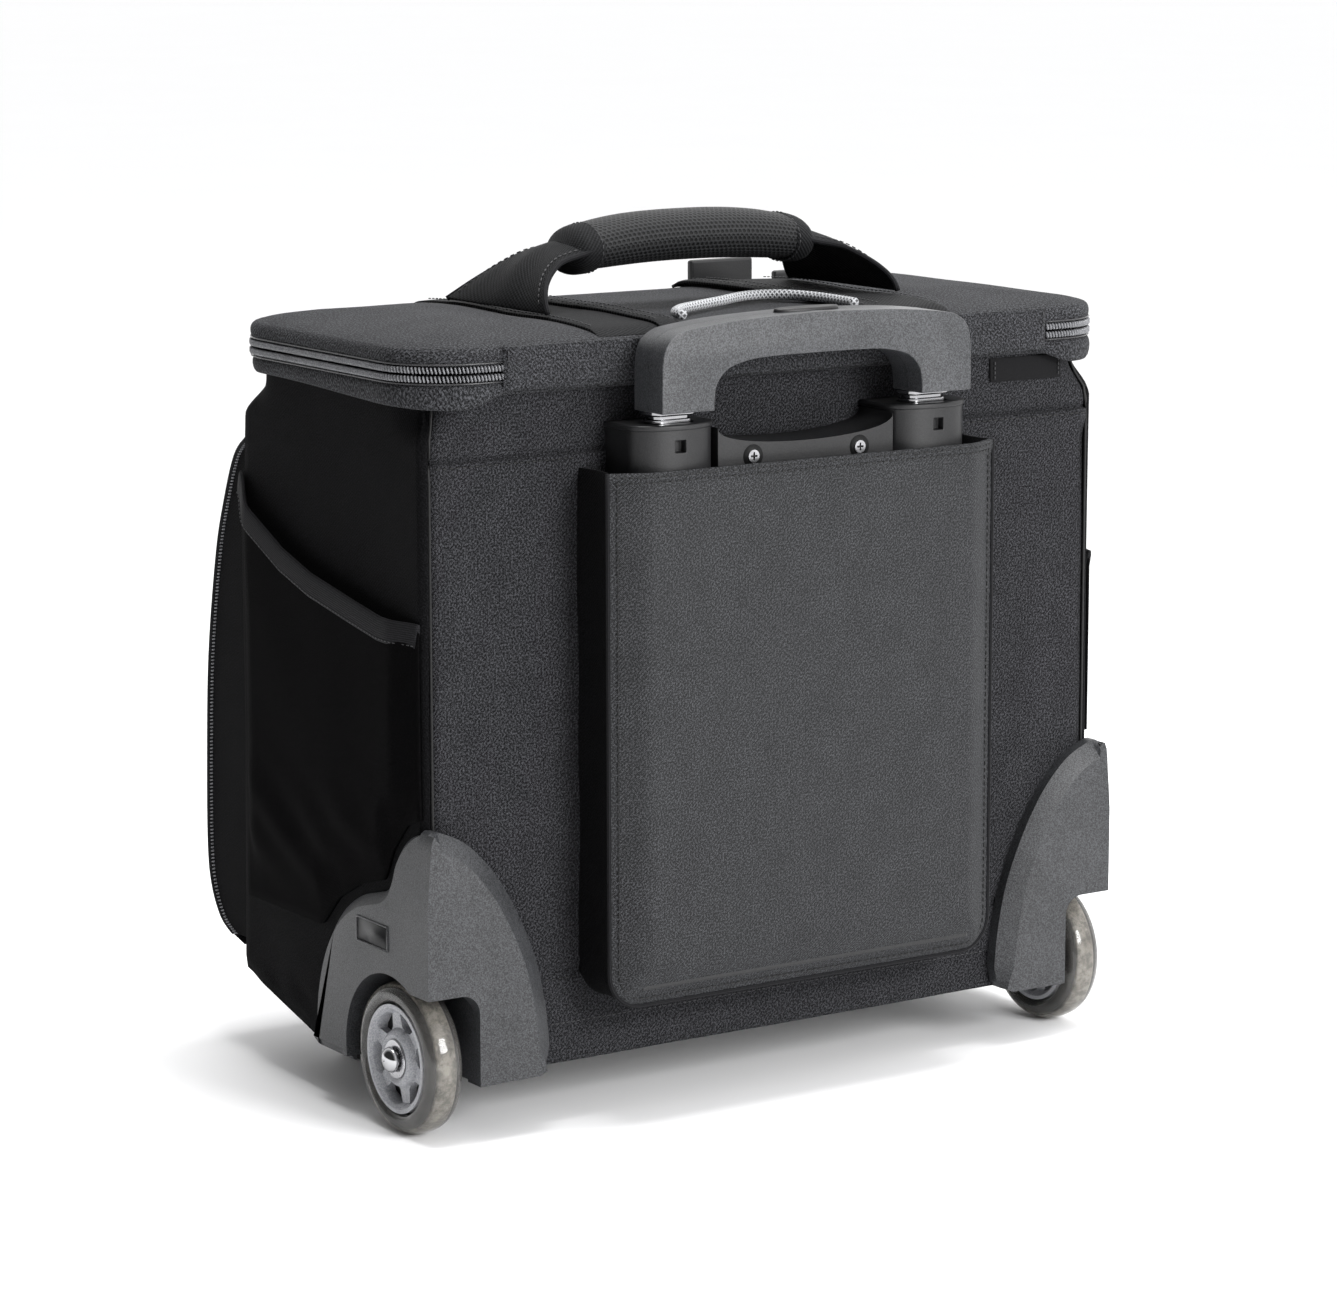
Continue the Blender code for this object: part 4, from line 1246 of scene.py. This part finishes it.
def pad_section(x):
    """The grab pad's middle height, half height and half width at x."""
    share = abs(x) / 0.073
    middle = 0.4275 - 0.0062 * share**2.4
    return middle, 0.0133 - 0.003 * share**4, 0.02 - 0.002 * share**5


def make_grab_pad():
    rows = []
    count = 73
    for k in range(count):
        x = lerp(-0.0745, 0.0745, k / (count - 1))
        middle, high, wide = pad_section(x)
        shut = math.sqrt(max(0.0, 1 - ease(abs(x), 0.064, 0.075) ** 2 * 0.8))
        row = []
        for i in range(48):
            angle = 2 * PI * i / 48
            c, s = math.cos(angle), math.sin(angle)
            y = math.copysign(abs(c) ** 0.88, c) * wide * shut
            z = math.copysign(abs(s) ** 0.88, s) * high * shut * (0.92 if s < 0 else 1.0)
            row.append(at(x, -0.082 + y, middle + z))
        rows.append(row)
    pad = surface("grab_pad_mesh", rows, "mesh", "lid", closed=(False, True), caps=True)
    puffed(pad, 0.0016)
    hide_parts("grab_pad")
    for name, side in SIDES:
        wrap = []
        for k in range(13):
            x = lerp(0.0585, 0.0755, k / 12)
            middle, high, wide = pad_section(x)
            shut = math.sqrt(max(0.0, 1 - ease(abs(x), 0.064, 0.0765) ** 2 * 0.8))
            grow = 0.001 - 0.0006 * bump_at(x, 0.0585, 0.004)
            wrap.append([
                at(
                    side * x, -0.082 + math.cos(2 * PI * i / 40) * (wide * shut + grow),
                    middle + math.sin(2 * PI * i / 40) * (high * shut + grow)
                )
                for i in range(40)
            ])
        band = surface(f"grip_wrap_{name}", wrap, "webbing", "lid", closed=(False, True))
        face_out(band)
        thick(band, 0.0012)
        row = wrap[1]
        stitch_line(
            "lid", row + row[:1], lambda p,
            m=pad_section(0.0585)[0]: Vector((0, p.y - BACK + 0.082, p.z - m))
        )


def puffed(obj, pressure):
    """Settles a stuffed piece with the cloth solver: its cover swells and keeps its sewn ends."""
    before = [v.co.copy() for v in obj.data.vertices]
    held = obj.vertex_groups.new(name="sewn")
    limit = max(abs(co.x) for co in before) - 0.01
    held.add([k for k, co in enumerate(before) if abs(co.x) > limit], 1.0, "REPLACE")
    cloth = obj.modifiers.new("Cloth", "CLOTH")
    settings = cloth.settings
    settings.quality = 6
    settings.mass = 0.3
    settings.tension_stiffness = 20
    settings.compression_stiffness = 20
    settings.bending_stiffness = 1.5
    settings.use_pressure = True
    settings.uniform_pressure_force = 4.0
    settings.vertex_group_mass = "sewn"
    settings.effector_weights.gravity = 0
    scene = bpy.context.scene
    for step in range(1, 15):
        scene.frame_set(step)
    apply_all(obj)
    for vertex, old in zip(obj.data.vertices, before):
        moved = vertex.co - old
        if moved.length > pressure:
            moved *= pressure / moved.length
        vertex.co = old + moved
    scene.frame_set(1)


# ---- trolley sleeve ---------------------------------------------------------------------------
SLEEVE_HALF, SLEEVE_CORNER = 0.116, 0.018
SLEEVE_FOOT, SLEEVE_TOP = 0.061, 0.326


def sleeve_reach(height):
    """Half the sleeve's width at a height, inside its round lower corners."""
    low = SLEEVE_FOOT + SLEEVE_CORNER - height
    if low <= 0:
        return SLEEVE_HALF
    return SLEEVE_HALF - SLEEVE_CORNER + math.sqrt(
        max(SLEEVE_CORNER**2 - min(low, SLEEVE_CORNER) ** 2, 0)
    )


def make_sleeve():
    edge_depth, full_depth = 0.0275, 0.0372
    rows = []
    heights = [SLEEVE_FOOT + (SLEEVE_TOP - SLEEVE_FOOT) * (k / 90) ** 1.25 for k in range(91)]
    for height in heights:
        reach = sleeve_reach(height)
        row = []
        for i in range(97):
            share = math.sin(PI / 2 * lerp(-1, 1, i / 96))
            x = reach * share
            inset = min(reach - abs(x), (height - SLEEVE_FOOT) * 0.9)
            depth = edge_depth + (full_depth - edge_depth) * ease(inset, -0.004, 0.021)
            point = at(x, depth, height)
            hem = 0.0007 * ease(height, 0.3205, 0.3215)
            sway = wobble(point, 0.001, 0.09, 9.0) * ease(inset, 0.01, 0.04) * (
                1 - ease(height, 0.308, 0.319)
            )
            row.append(point + Vector((0, sway + hem, 0)))
        rows.append(row)
    face = surface("sleeve_face", rows, "coated", "case", outward=(0, 1, 0))
    thick(face, 0.002)
    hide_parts("trolley_sleeve")
    outline = [(SLEEVE_HALF, SLEEVE_TOP - k * 0.0125) for k in range(20)]
    for start, x in ((0, SLEEVE_HALF - SLEEVE_CORNER), (-90, SLEEVE_CORNER - SLEEVE_HALF)):
        for k in range(9):
            angle = math.radians(start - 90 * k / 8)
            outline.append(
                (
                    x + SLEEVE_CORNER * math.cos(angle),
                    SLEEVE_FOOT + SLEEVE_CORNER + SLEEVE_CORNER * math.sin(angle)
                )
            )
    outline += [(-SLEEVE_HALF, SLEEVE_TOP - k * 0.0125) for k in reversed(range(20))]
    rows = []
    for x, height in outline:
        row = []
        for k in range(13):
            share = k / 12
            pinch = 0.0022 * math.sin(PI * share)
            row.append(
                at(x * (1 - pinch / SLEEVE_HALF), lerp(-0.0005, edge_depth + 0.0004, share), height)
            )
        rows.append(row)
    gusset = surface("sleeve_gusset", rows, "nylon", "case", outward=(1, 0, 0))
    thick(gusset, 0.0016)
    rim = [at(x, edge_depth + 0.0006, height) for x, height in outline]
    tube("sleeve_edge", rim, 0.0011, "binding", "case", sides=10, up=Vector((0, 1, 0)))
    seam = []
    for x, height in outline:
        inward = Vector((-math.copysign(0.0042, x), 0, 0))
        if height < SLEEVE_FOOT + SLEEVE_CORNER:
            centre = Vector(
                (math.copysign(SLEEVE_HALF - SLEEVE_CORNER, x), 0, SLEEVE_FOOT + SLEEVE_CORNER)
            )
            away = Vector((x, 0, height)) - centre
            if abs(x) < SLEEVE_HALF - SLEEVE_CORNER:
                away = Vector((0, 0, -1))
            inward = away.normalized() * -0.0042
        seam.append(at(x, 0, height) + inward + Vector((0, edge_depth + 0.0026, 0)))
    # The sleeve's stitches use the darker thread copy, which is painted shade.
    stitch_line("case", seam, (0, 1, 0), finish="thread_dark")
    for height in (0.324, 0.3212):
        line = []
        for k in range(81):
            x = lerp(-SLEEVE_HALF + 0.002, SLEEVE_HALF - 0.002, k / 80)
            depth = edge_depth + (full_depth - edge_depth) * ease(SLEEVE_HALF - abs(x), -0.004, 0.021)
            line.append(at(x, depth + (0.0008 if height > 0.3215 else 0.0005), height))
        stitch_line("case", line, (0, 1, 0), finish="thread_dark")


# ---- trolley ----------------------------------------------------------------------------------
TUBE_X, TUBE_Y = 0.0765, 0.0205
GRIP_SPLIT = 0.028


def rounded_box(centre, half, radius, steps=6):
    """A rectangle outline with round corners."""
    outline = []
    for start, sx, sy in ((0, 1, 1), (90, -1, 1), (180, -1, -1), (270, 1, -1)):
        for k in range(steps + 1):
            angle = math.radians(start + 90 * k / steps)
            outline.append((
                centre[0] + sx * (half[0] - radius) + radius * math.cos(angle),
                centre[1] + sy * (half[1] - radius) + radius * math.sin(angle),
            ))
    return outline


def tube_room(x, half, radius):
    """A cutter that follows a trolley tube all the way up."""
    return prism("bore", rounded_box((x, TUBE_Y), half, radius), "plan", (0.0, 0.5), "dark")


def make_collar(name, side):
    x = side * TUBE_X

    def column(label, grow, low, high, finish):
        outline = [(x + 0.0235 + grow, -0.0012), (x + 0.0235 + grow, 0.02)]
        for k in range(13):
            angle = PI * k / 12
            outline.append(
                (
                    x + (0.0235 + grow) * math.cos(angle),
                    0.02 + (0.014 + grow) * math.sin(angle) ** 0.85
                )
            )
        outline += [(x - 0.0235 - grow, 0.02), (x - 0.0235 - grow, -0.0012)]
        return prism(label, outline[:2] + outline[3:-3] + outline[-2:], "plan", (low, high), finish)

    collar = column(f"collar_{name}", 0.0, 0.306, 0.3462, "dark")
    hole = prism(
        "hole", rounded_box((x + side * 0.001, 0.337), (0.003, 0.003), 0.0005), "back", (0.0295, 0.05),
        "shadow"
    )
    carved(collar, tube_room(x, (0.0122, 0.0074), 0.0045), hole)
    softened(collar, 0.0012)
    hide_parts(f"tube_collar_{name}")
    lip = column(f"collar_lip_{name}", 0.0008, 0.3448, 0.3477, "dark")
    carved(lip, tube_room(x, (0.0122, 0.0074), 0.0045))
    softened(lip, 0.0009)


def make_bridge():
    half = TUBE_X - 0.0238
    arc = [
        (half * math.cos(PI * k / 24), 0.3342 + 0.0098 * (1 - math.sin(PI * k / 24) ** 0.8))
        for k in range(25)
    ]
    bridge = prism("bridge", arc + [(-half, 0.306), (half, 0.306)], "back", (0.0, 0.029), "dark")
    cutters = [
        drum("recess", "Y", (side * 0.032, 0.3285), 0.0052, (0.0248, 0.05), "shadow") for side in (1, -1)
    ]
    carved(bridge, *cutters)
    softened(bridge, 0.0012)
    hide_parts("collar_bridge")
    for name, side in SIDES:
        # A near-black drum that lines each screw recess around the head: painted shade in the recess.
        drum(f"screw_well_shade_{name}", "Y", (side * 0.032, 0.3285), 0.0058, (0.024, 0.0292), "shadow")
        head = drum(
            f"screw_{name}", "Y", (side * 0.032, 0.3285), 0.0032, (0.0246, 0.03), "steel", sides=24
        )
        slots = [
            prism(
                "slot", rounded_box((side * 0.032, 0.3285), size, 0.0003, 2), "back", (0.029, 0.031),
                "steel"
            )
            for size in ((0.002, 0.0005), (0.0005, 0.002))
        ]
        carved(head, *slots)
        softened(head, 0.0005, 2)
        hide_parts(f"bridge_screw_{name}")


def make_tubes(name, side):
    x = side * TUBE_X
    stages = (
        ("outer", 0.0135, 0.0085, 0.0838, 0.325, 0.006, "aluminium", "case"),
        ("middle", 0.0116, 0.0068, 0.086, 0.3495, 0.0045, "chrome", "trolley_middle"),
        ("inner", 0.0102, 0.0054, 0.089, 0.366, 0.0038, "chrome", "trolley_top"),
    )
    for stage, wide, deep, low, high, radius, finish, body in stages:
        shell = prism(
            f"{stage}_tube_{name}_skin", rounded_box((x, TUBE_Y), (wide, deep), radius), "plan",
            (low, high), finish, body
        )
        carved(shell, tube_room(x, (wide - 0.001, deep - 0.001), radius - 0.0009))
        softened(shell, 0.0004, 2)
        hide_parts(f"{stage}_tube_{name}")
    ferrule = prism(
        f"ferrule_{name}", rounded_box(
            (x, TUBE_Y + 0.0002), (0.0128, 0.0082), 0.005
        ), "plan", (0.3512, 0.3542), "chrome",
        "trolley_top",
    )
    carved(ferrule, tube_room(x, (0.0103, 0.0055), 0.0038))
    softened(ferrule, 0.0009)


def make_grip():
    right = side_curve([
        (0.0925, 0.354), (0.0925, 0.366), (0.0922, 0.378), (0.09, 0.3866), (0.084, 0.3918),
        (0.074, 0.3943), (0.045, 0.397), (0.0, 0.3985),
    ])
    opening = side_curve([
        (0.0, 0.3785), (0.03, 0.3782), (0.044, 0.3768), (0.0545, 0.3735), (0.0605, 0.367),
        (0.062, 0.36), (0.0622, 0.354),
    ])
    outline = right + [(-x, z) for x, z in reversed(right[:-1])]
    outline += [(-x, z) for x, z in reversed(opening)] + opening[1:]

    def shell(label, low, high, finish):
        whole = prism(label, outline, "back", (0.0155, 0.0405), finish, "trolley_top")
        softened(whole, 0.005, 5, 50)
        apply_all(whole)
        keep = prism(
            "keep", [(-0.12, 0.33), (0.12, 0.33), (0.12, 0.42), (-0.12, 0.42)], "back", (low, high),
            finish
        )
        step = whole.modifiers.new("Split", "BOOLEAN")
        step.operation = "INTERSECT"
        step.object = keep
        apply_all(whole)
        bpy.data.objects.remove(keep)
        well = prism("well", oval(0.0194, 0.0064), "plan", (0.383, 0.41), finish)
        sockets = [
            prism(
                "socket", rounded_box((s * TUBE_X, TUBE_Y), (0.0106, 0.0058), 0.0038), "plan",
                (0.34, 0.3665), finish
            )
            for s in (1, -1)
        ]
        carved(whole, well, *sockets)
        softened(whole, 0.00035, 2, 40)
        return whole

    front = shell("grip_front_shell", 0.0, GRIP_SPLIT - 0.0001, "plastic")
    rear = shell("grip_rear_shell", GRIP_SPLIT + 0.0001, 0.05, "plastic")
    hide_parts("grip_front")
    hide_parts("grip_rear")
    button = prism("button", oval(0.019, 0.006), "plan", (0.3878, 0.3999), "dark", "release")
    softened(button, 0.0012, 4)
    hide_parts("release_button")


def oval(long_half, short_half):
    """The release button's outline as (x, depth), with the given half sizes."""
    angles = [2 * PI * k / 48 for k in range(48)]
    return [(long_half * math.cos(a), GRIP_SPLIT + short_half * math.sin(a)) for a in angles]


# ---- wheels and housings ----------------------------------------------------------------------
HOUSING_SIDE = (
    (0.011, 0.1555), (-0.002, 0.1545), (-0.014, 0.149), (-0.0235, 0.1385), (-0.0275, 0.129),
    (-0.033, 0.1215), (-0.044, 0.118), (-0.059, 0.1135), (-0.0745, 0.1045), (-0.087, 0.092),
    (-0.096, 0.077), (-0.102, 0.059), (-0.104, 0.042), (-0.103, 0.0275),
)
HOUSING_BACK = (
    (0.2092, 0.12), (0.2078, 0.138), (0.2052, 0.156), (0.194, 0.1545), (0.182, 0.1475),
    (0.17, 0.135), (0.16, 0.12), (0.151, 0.102), (0.144, 0.083), (0.1395, 0.061),
    (0.1376, 0.042),
)


def inset(outline, amount):
    """The closed outline moved inwards by amount(point), for outlines without tight bends."""
    count, area = len(outline), 0.0
    for k, (a, b) in enumerate(outline):
        c, d = outline[(k + 1) % count]
        area += a * d - b * c
    moved = []
    for k, (a, b) in enumerate(outline):
        before, after = outline[k - 1], outline[(k + 1) % count]
        along = Vector((after[0] - before[0], after[1] - before[1])).normalized()
        inward = Vector((-along.y, along.x)) * (1 if area > 0 else -1)
        reach = amount(a, b)
        moved.append((a + inward.x * reach, b + inward.y * reach))
    return moved


def stepped(name, outlines, plane, levels, finish):
    """A solid through several outlines with the same number of points, each at its own level."""
    place = PLANES[plane]
    points = [place(a, b, level) for outline, level in zip(outlines, levels) for a, b in outline]
    count, faces = len(outlines[0]), []
    for row in range(len(outlines) - 1):
        base = row * count
        faces += [
            [base + k, base + (k + 1) % count, base + count + (k + 1) % count, base + count + k]
            for k in range(count)
        ]
    last = (len(outlines) - 1) * count
    faces += [list(range(count))[::-1], list(range(last, last + count))]
    return face_out(piece(name, points, faces, finish, "case"))


def mirrored(obj, name, *nodes):
    """A finished piece's copy on the right side of the case."""
    mesh = obj.data.copy()
    mesh.transform(Matrix.Scale(-1, 4, (1, 0, 0)))
    mesh.flip_normals()
    copy = bpy.data.objects.new(name, mesh)
    bpy.context.scene.collection.objects.link(copy)
    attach(copy, "case")
    if nodes:
        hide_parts(*nodes)


def make_housings():
    """A moulded corner guard: two chamfered shields that meet in a crease, with an arch for the wheel."""
    near, far = HALF + 0.0003, HALF + 0.0062
    outline = side_curve(HOUSING_SIDE, 4) + [(-0.02, 0.0275), (0.011, 0.0275)]
    tight = inset(outline, lambda d, z: 0.0055 * (1 - ease(d, -0.012, 0.004)))
    tight = [(d, max(z, 0.0275)) for d, z in tight]
    cheek = stepped(
        "housing_left", [outline, outline, tight], "side", [near, far - 0.0048, far], "housing"
    )
    lean = [
        (0.22, 0.1085), (far + 0.0002, 0.111), (0.2052, 0.157), (0.2052, 0.17), (0.23, 0.17)
    ]
    carved(cheek, prism("slope", lean, "back", (-0.13, 0.05), "housing"))
    corner = [(0.1395, 0.034), (0.142, 0.0305), (0.146, 0.029), (0.2092, 0.0285), (0.2092, 0.108)]
    outline = side_curve(HOUSING_BACK, 4) + corner
    tight = inset(outline, lambda x, z: 0.009 * ease(0.205 - x, 0.0, 0.004) * ease(z, 0.0285, 0.04))
    shield = stepped("shield", [outline, outline, tight], "back", [0.0003, 0.0068, 0.0125], "housing")
    block = prism(
        "block", [(-0.0745, 0.03), (0.01, 0.03), (0.01, 0.088), (-0.0745, 0.088)], "side",
        (0.1705, HALF + 0.006), "housing",
    )
    merged(cheek, shield, block)
    spin = (AXLE.y - BACK, AXLE.z)
    reach = (0.1805, 0.26)
    arch = drum("arch", "X", spin, 0.0428, reach, "shadow", sides=72)
    below = prism(
        "below", rounded_box((spin[0] + 0.009, 0.014), (0.0515, 0.024), 0.001), "side", reach,
        "shadow"
    )
    cut = rounded_box((0.2205, 0.028), (0.04, 0.0475), 0.01)
    behind = prism("behind", cut, "back", (spin[0], spin[0] + 0.08), "shadow")
    carved(cheek, arch, below, behind)
    apply_all(softened(cheek, 0.0013, 3, 20))
    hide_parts("wheel_housing_left")
    mirrored(cheek, "housing_right", "wheel_housing_right")
    size = (0.0155, 0.0066)
    plaque = prism(
        "plaque_left", rounded_box((-0.0415, 0.0985), size, 0.001, 3), "side",
        (far - 0.001, far + 0.0005), "housing"
    )
    room = rounded_box((-0.0415, 0.0985), (0.0145, 0.0056), 0.0006, 3)
    carved(plaque, prism("room", room, "side", (far + 0.0001, 0.23), "shadow"))
    mirrored(plaque, "plaque_right")
    face = prism("plaque_face_left", room, "side", (far - 0.001, far + 0.00015), "dark")
    mirrored(face, "plaque_face_right")


def both_ways(half):
    """A wheel profile's outer half, followed by the same points on the inner side."""
    return half + [(-along, radius) for along, radius in reversed(half)]


def make_wheel(name, side):
    body = f"wheel_{name}"
    centre = Vector((side * abs(AXLE.x), AXLE.y, AXLE.z))
    shoulder = [(0.0098, 0.0274), (0.01, 0.0315), (0.0092, 0.0348), (0.007, 0.0368), (0.004, 0.0378)]
    tyre_profile = both_ways(shoulder) + [(0.0, 0.0272)]
    tyre_profile.insert(len(shoulder), (0.0, WHEEL_R))
    tyre = turned(f"tyre_{name}_ring", tyre_profile, "tyre", body, centre, 96)
    rounder(tyre, 1)
    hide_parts(f"tyre_{name}")
    tread = both_ways([(0.0052, 0.0338), (0.0046, 0.0352)])
    turned(f"tyre_tread_{name}", tread, "core", body, centre, 72)
    ring_core = both_ways([(0.0072, 0.0276), (0.0064, 0.0336)])
    turned(f"tyre_core_{name}", ring_core, "core_side", body, centre, 72)
    # A near-black disc at the hub's middle, behind its windows: painted shade seen through them.
    shade_disc = both_ways([(0.001, 0.0095), (0.001, 0.0255)])
    turned(f"hub_shade_disc_{name}", shade_disc, "shadow", body, centre, 48)
    hub_profile = both_ways([
        (0.0085, 0.01), (0.0093, 0.012), (0.008, 0.0136), (0.0052, 0.015), (0.0052, 0.0222),
        (0.0078, 0.0238), (0.0092, 0.0252), (0.009, 0.0271),
    ])
    hub = turned(f"hub_{name}_disc", hub_profile, "hub", body, centre, 96)
    cutters = []
    window = (
        (0.0226, 0.36), (0.0236, 0.26), (0.0238, 0.0), (0.0236, -0.26), (0.0226, -0.36),
        (0.016, -0.24), (0.0146, 0.0), (0.016, 0.24),
    )
    for k in range(6):
        outline = []
        for reach, spread in window:
            angle = math.radians(60 * k + 12) + spread
            outline.append((centre.y - BACK + reach * math.cos(angle), centre.z + reach * math.sin(angle)))
        cutters.append(prism("window", outline, "side", (centre.x - 0.02, centre.x + 0.02), "hub"))
    carved(hub, *cutters)
    softened(hub, 0.0006, 2, 40)
    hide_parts(f"hub_{name}")
    ring_profile = [
        (0.0092, 0.0048), (0.0096, 0.006), (0.0092, 0.0098), (-0.0092, 0.0098), (-0.0092, 0.0048)
    ]
    bearing = turned(f"bearing_{name}_ring", ring_profile, "steel", body, centre, 64)
    softened(bearing, 0.0004, 2)
    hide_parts(f"bearing_{name}")
    head = side * 0.01
    dome = [
        (head, 0.0), (head, 0.0064), (head + side * 0.001, 0.0066), (head + side * 0.0026, 0.006),
        (head + side * 0.004, 0.0046), (head + side * 0.0048, 0.0026), (head + side * 0.0051, 0.0006),
        (head + side * 0.0051, 0.0),
    ]
    bolt = turned(f"axle_head_{name}", dome, "chrome", "case", centre, 48)
    rounder(bolt, 1)
    shaft = drum(
        f"axle_shaft_{name}", "X", (centre.y - BACK, centre.z), 0.004, (side * 0.174, side * 0.2075),
        "steel", sides=24
    )
    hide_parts(f"axle_bolt_{name}")


# ---- small parts ------------------------------------------------------------------------------
def make_tag():
    rows = [
        [
            at(
                lerp(-0.1345, -0.1805, i / 20),
                0.0014 + 0.0007 * bump_at(i / 20, 0.5, 0.6) + 0.0006 * (1 - j / 8),
                lerp(0.3508, 0.3632, j / 8)
            )
            for i in range(21)
        ]
        for j in range(9)
    ]
    tag = surface("side_tag", rows, "tape", "case", outward=(0, 1, 0))
    thick(tag, 0.0009)
    softened(tag, 0.0003, 2)
    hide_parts("blank_tag")
    for x in (-0.1368, -0.1782):
        stitch_line(
            "case", [at(x, 0.0024, lerp(0.352, 0.3618, k / 4)) for k in range(5)], (0, 1, 0),
            pitch=0.0024, length=0.0016
        )


def make_feet(name, side):
    foot = prism(
        f"foot_{name}", [
            (-0.176, 0.0462), (-0.146, 0.0385), (-0.1475, 0.0006), (-0.149, 0.0), (-0.17, 0.0),
            (-0.1715, 0.0006)
        ],
        "side", (side * 0.1252, side * 0.1548), "rubber",
    )
    softened(foot, 0.0018, 3)
    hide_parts(f"front_foot_{name}")


def paint(node, finish):
    """Gives a plain frame node its finish."""
    mesh = NODES[node].data
    mesh.materials.clear()
    mesh.materials.append(FINISH[finish])


def sew():
    for (body, finish), spots in STITCHES.items():
        beads(f"{finish}_{body}", spots, finish, body)


make_camera()
make_studio()
make_cord()
make_back()
make_base()
make_inner_walls()
make_front_pocket()
make_rim()
make_lid()
make_grab_pad()
make_sleeve()
make_bridge()
make_grip()
make_tag()
make_housings()
for side_name, hand in SIDES:
    make_side(side_name, hand)
    make_side_pocket(side_name, hand)
    make_lid_strap(side_name, hand)
    make_grab_strap(side_name, hand)
    make_collar(side_name, hand)
    make_tubes(side_name, hand)
    make_wheel(side_name, hand)
    make_feet(side_name, hand)
    for node in ("lid_slider", "front_slider"):
        paint(f"{node}_{side_name}", "steel")
    for node in ("lid_pull", "front_pull"):
        paint(f"{node}_{side_name}", "dark")
sew()
paint("tube_bracket", "dark")
paint("release_fork", "aluminium")
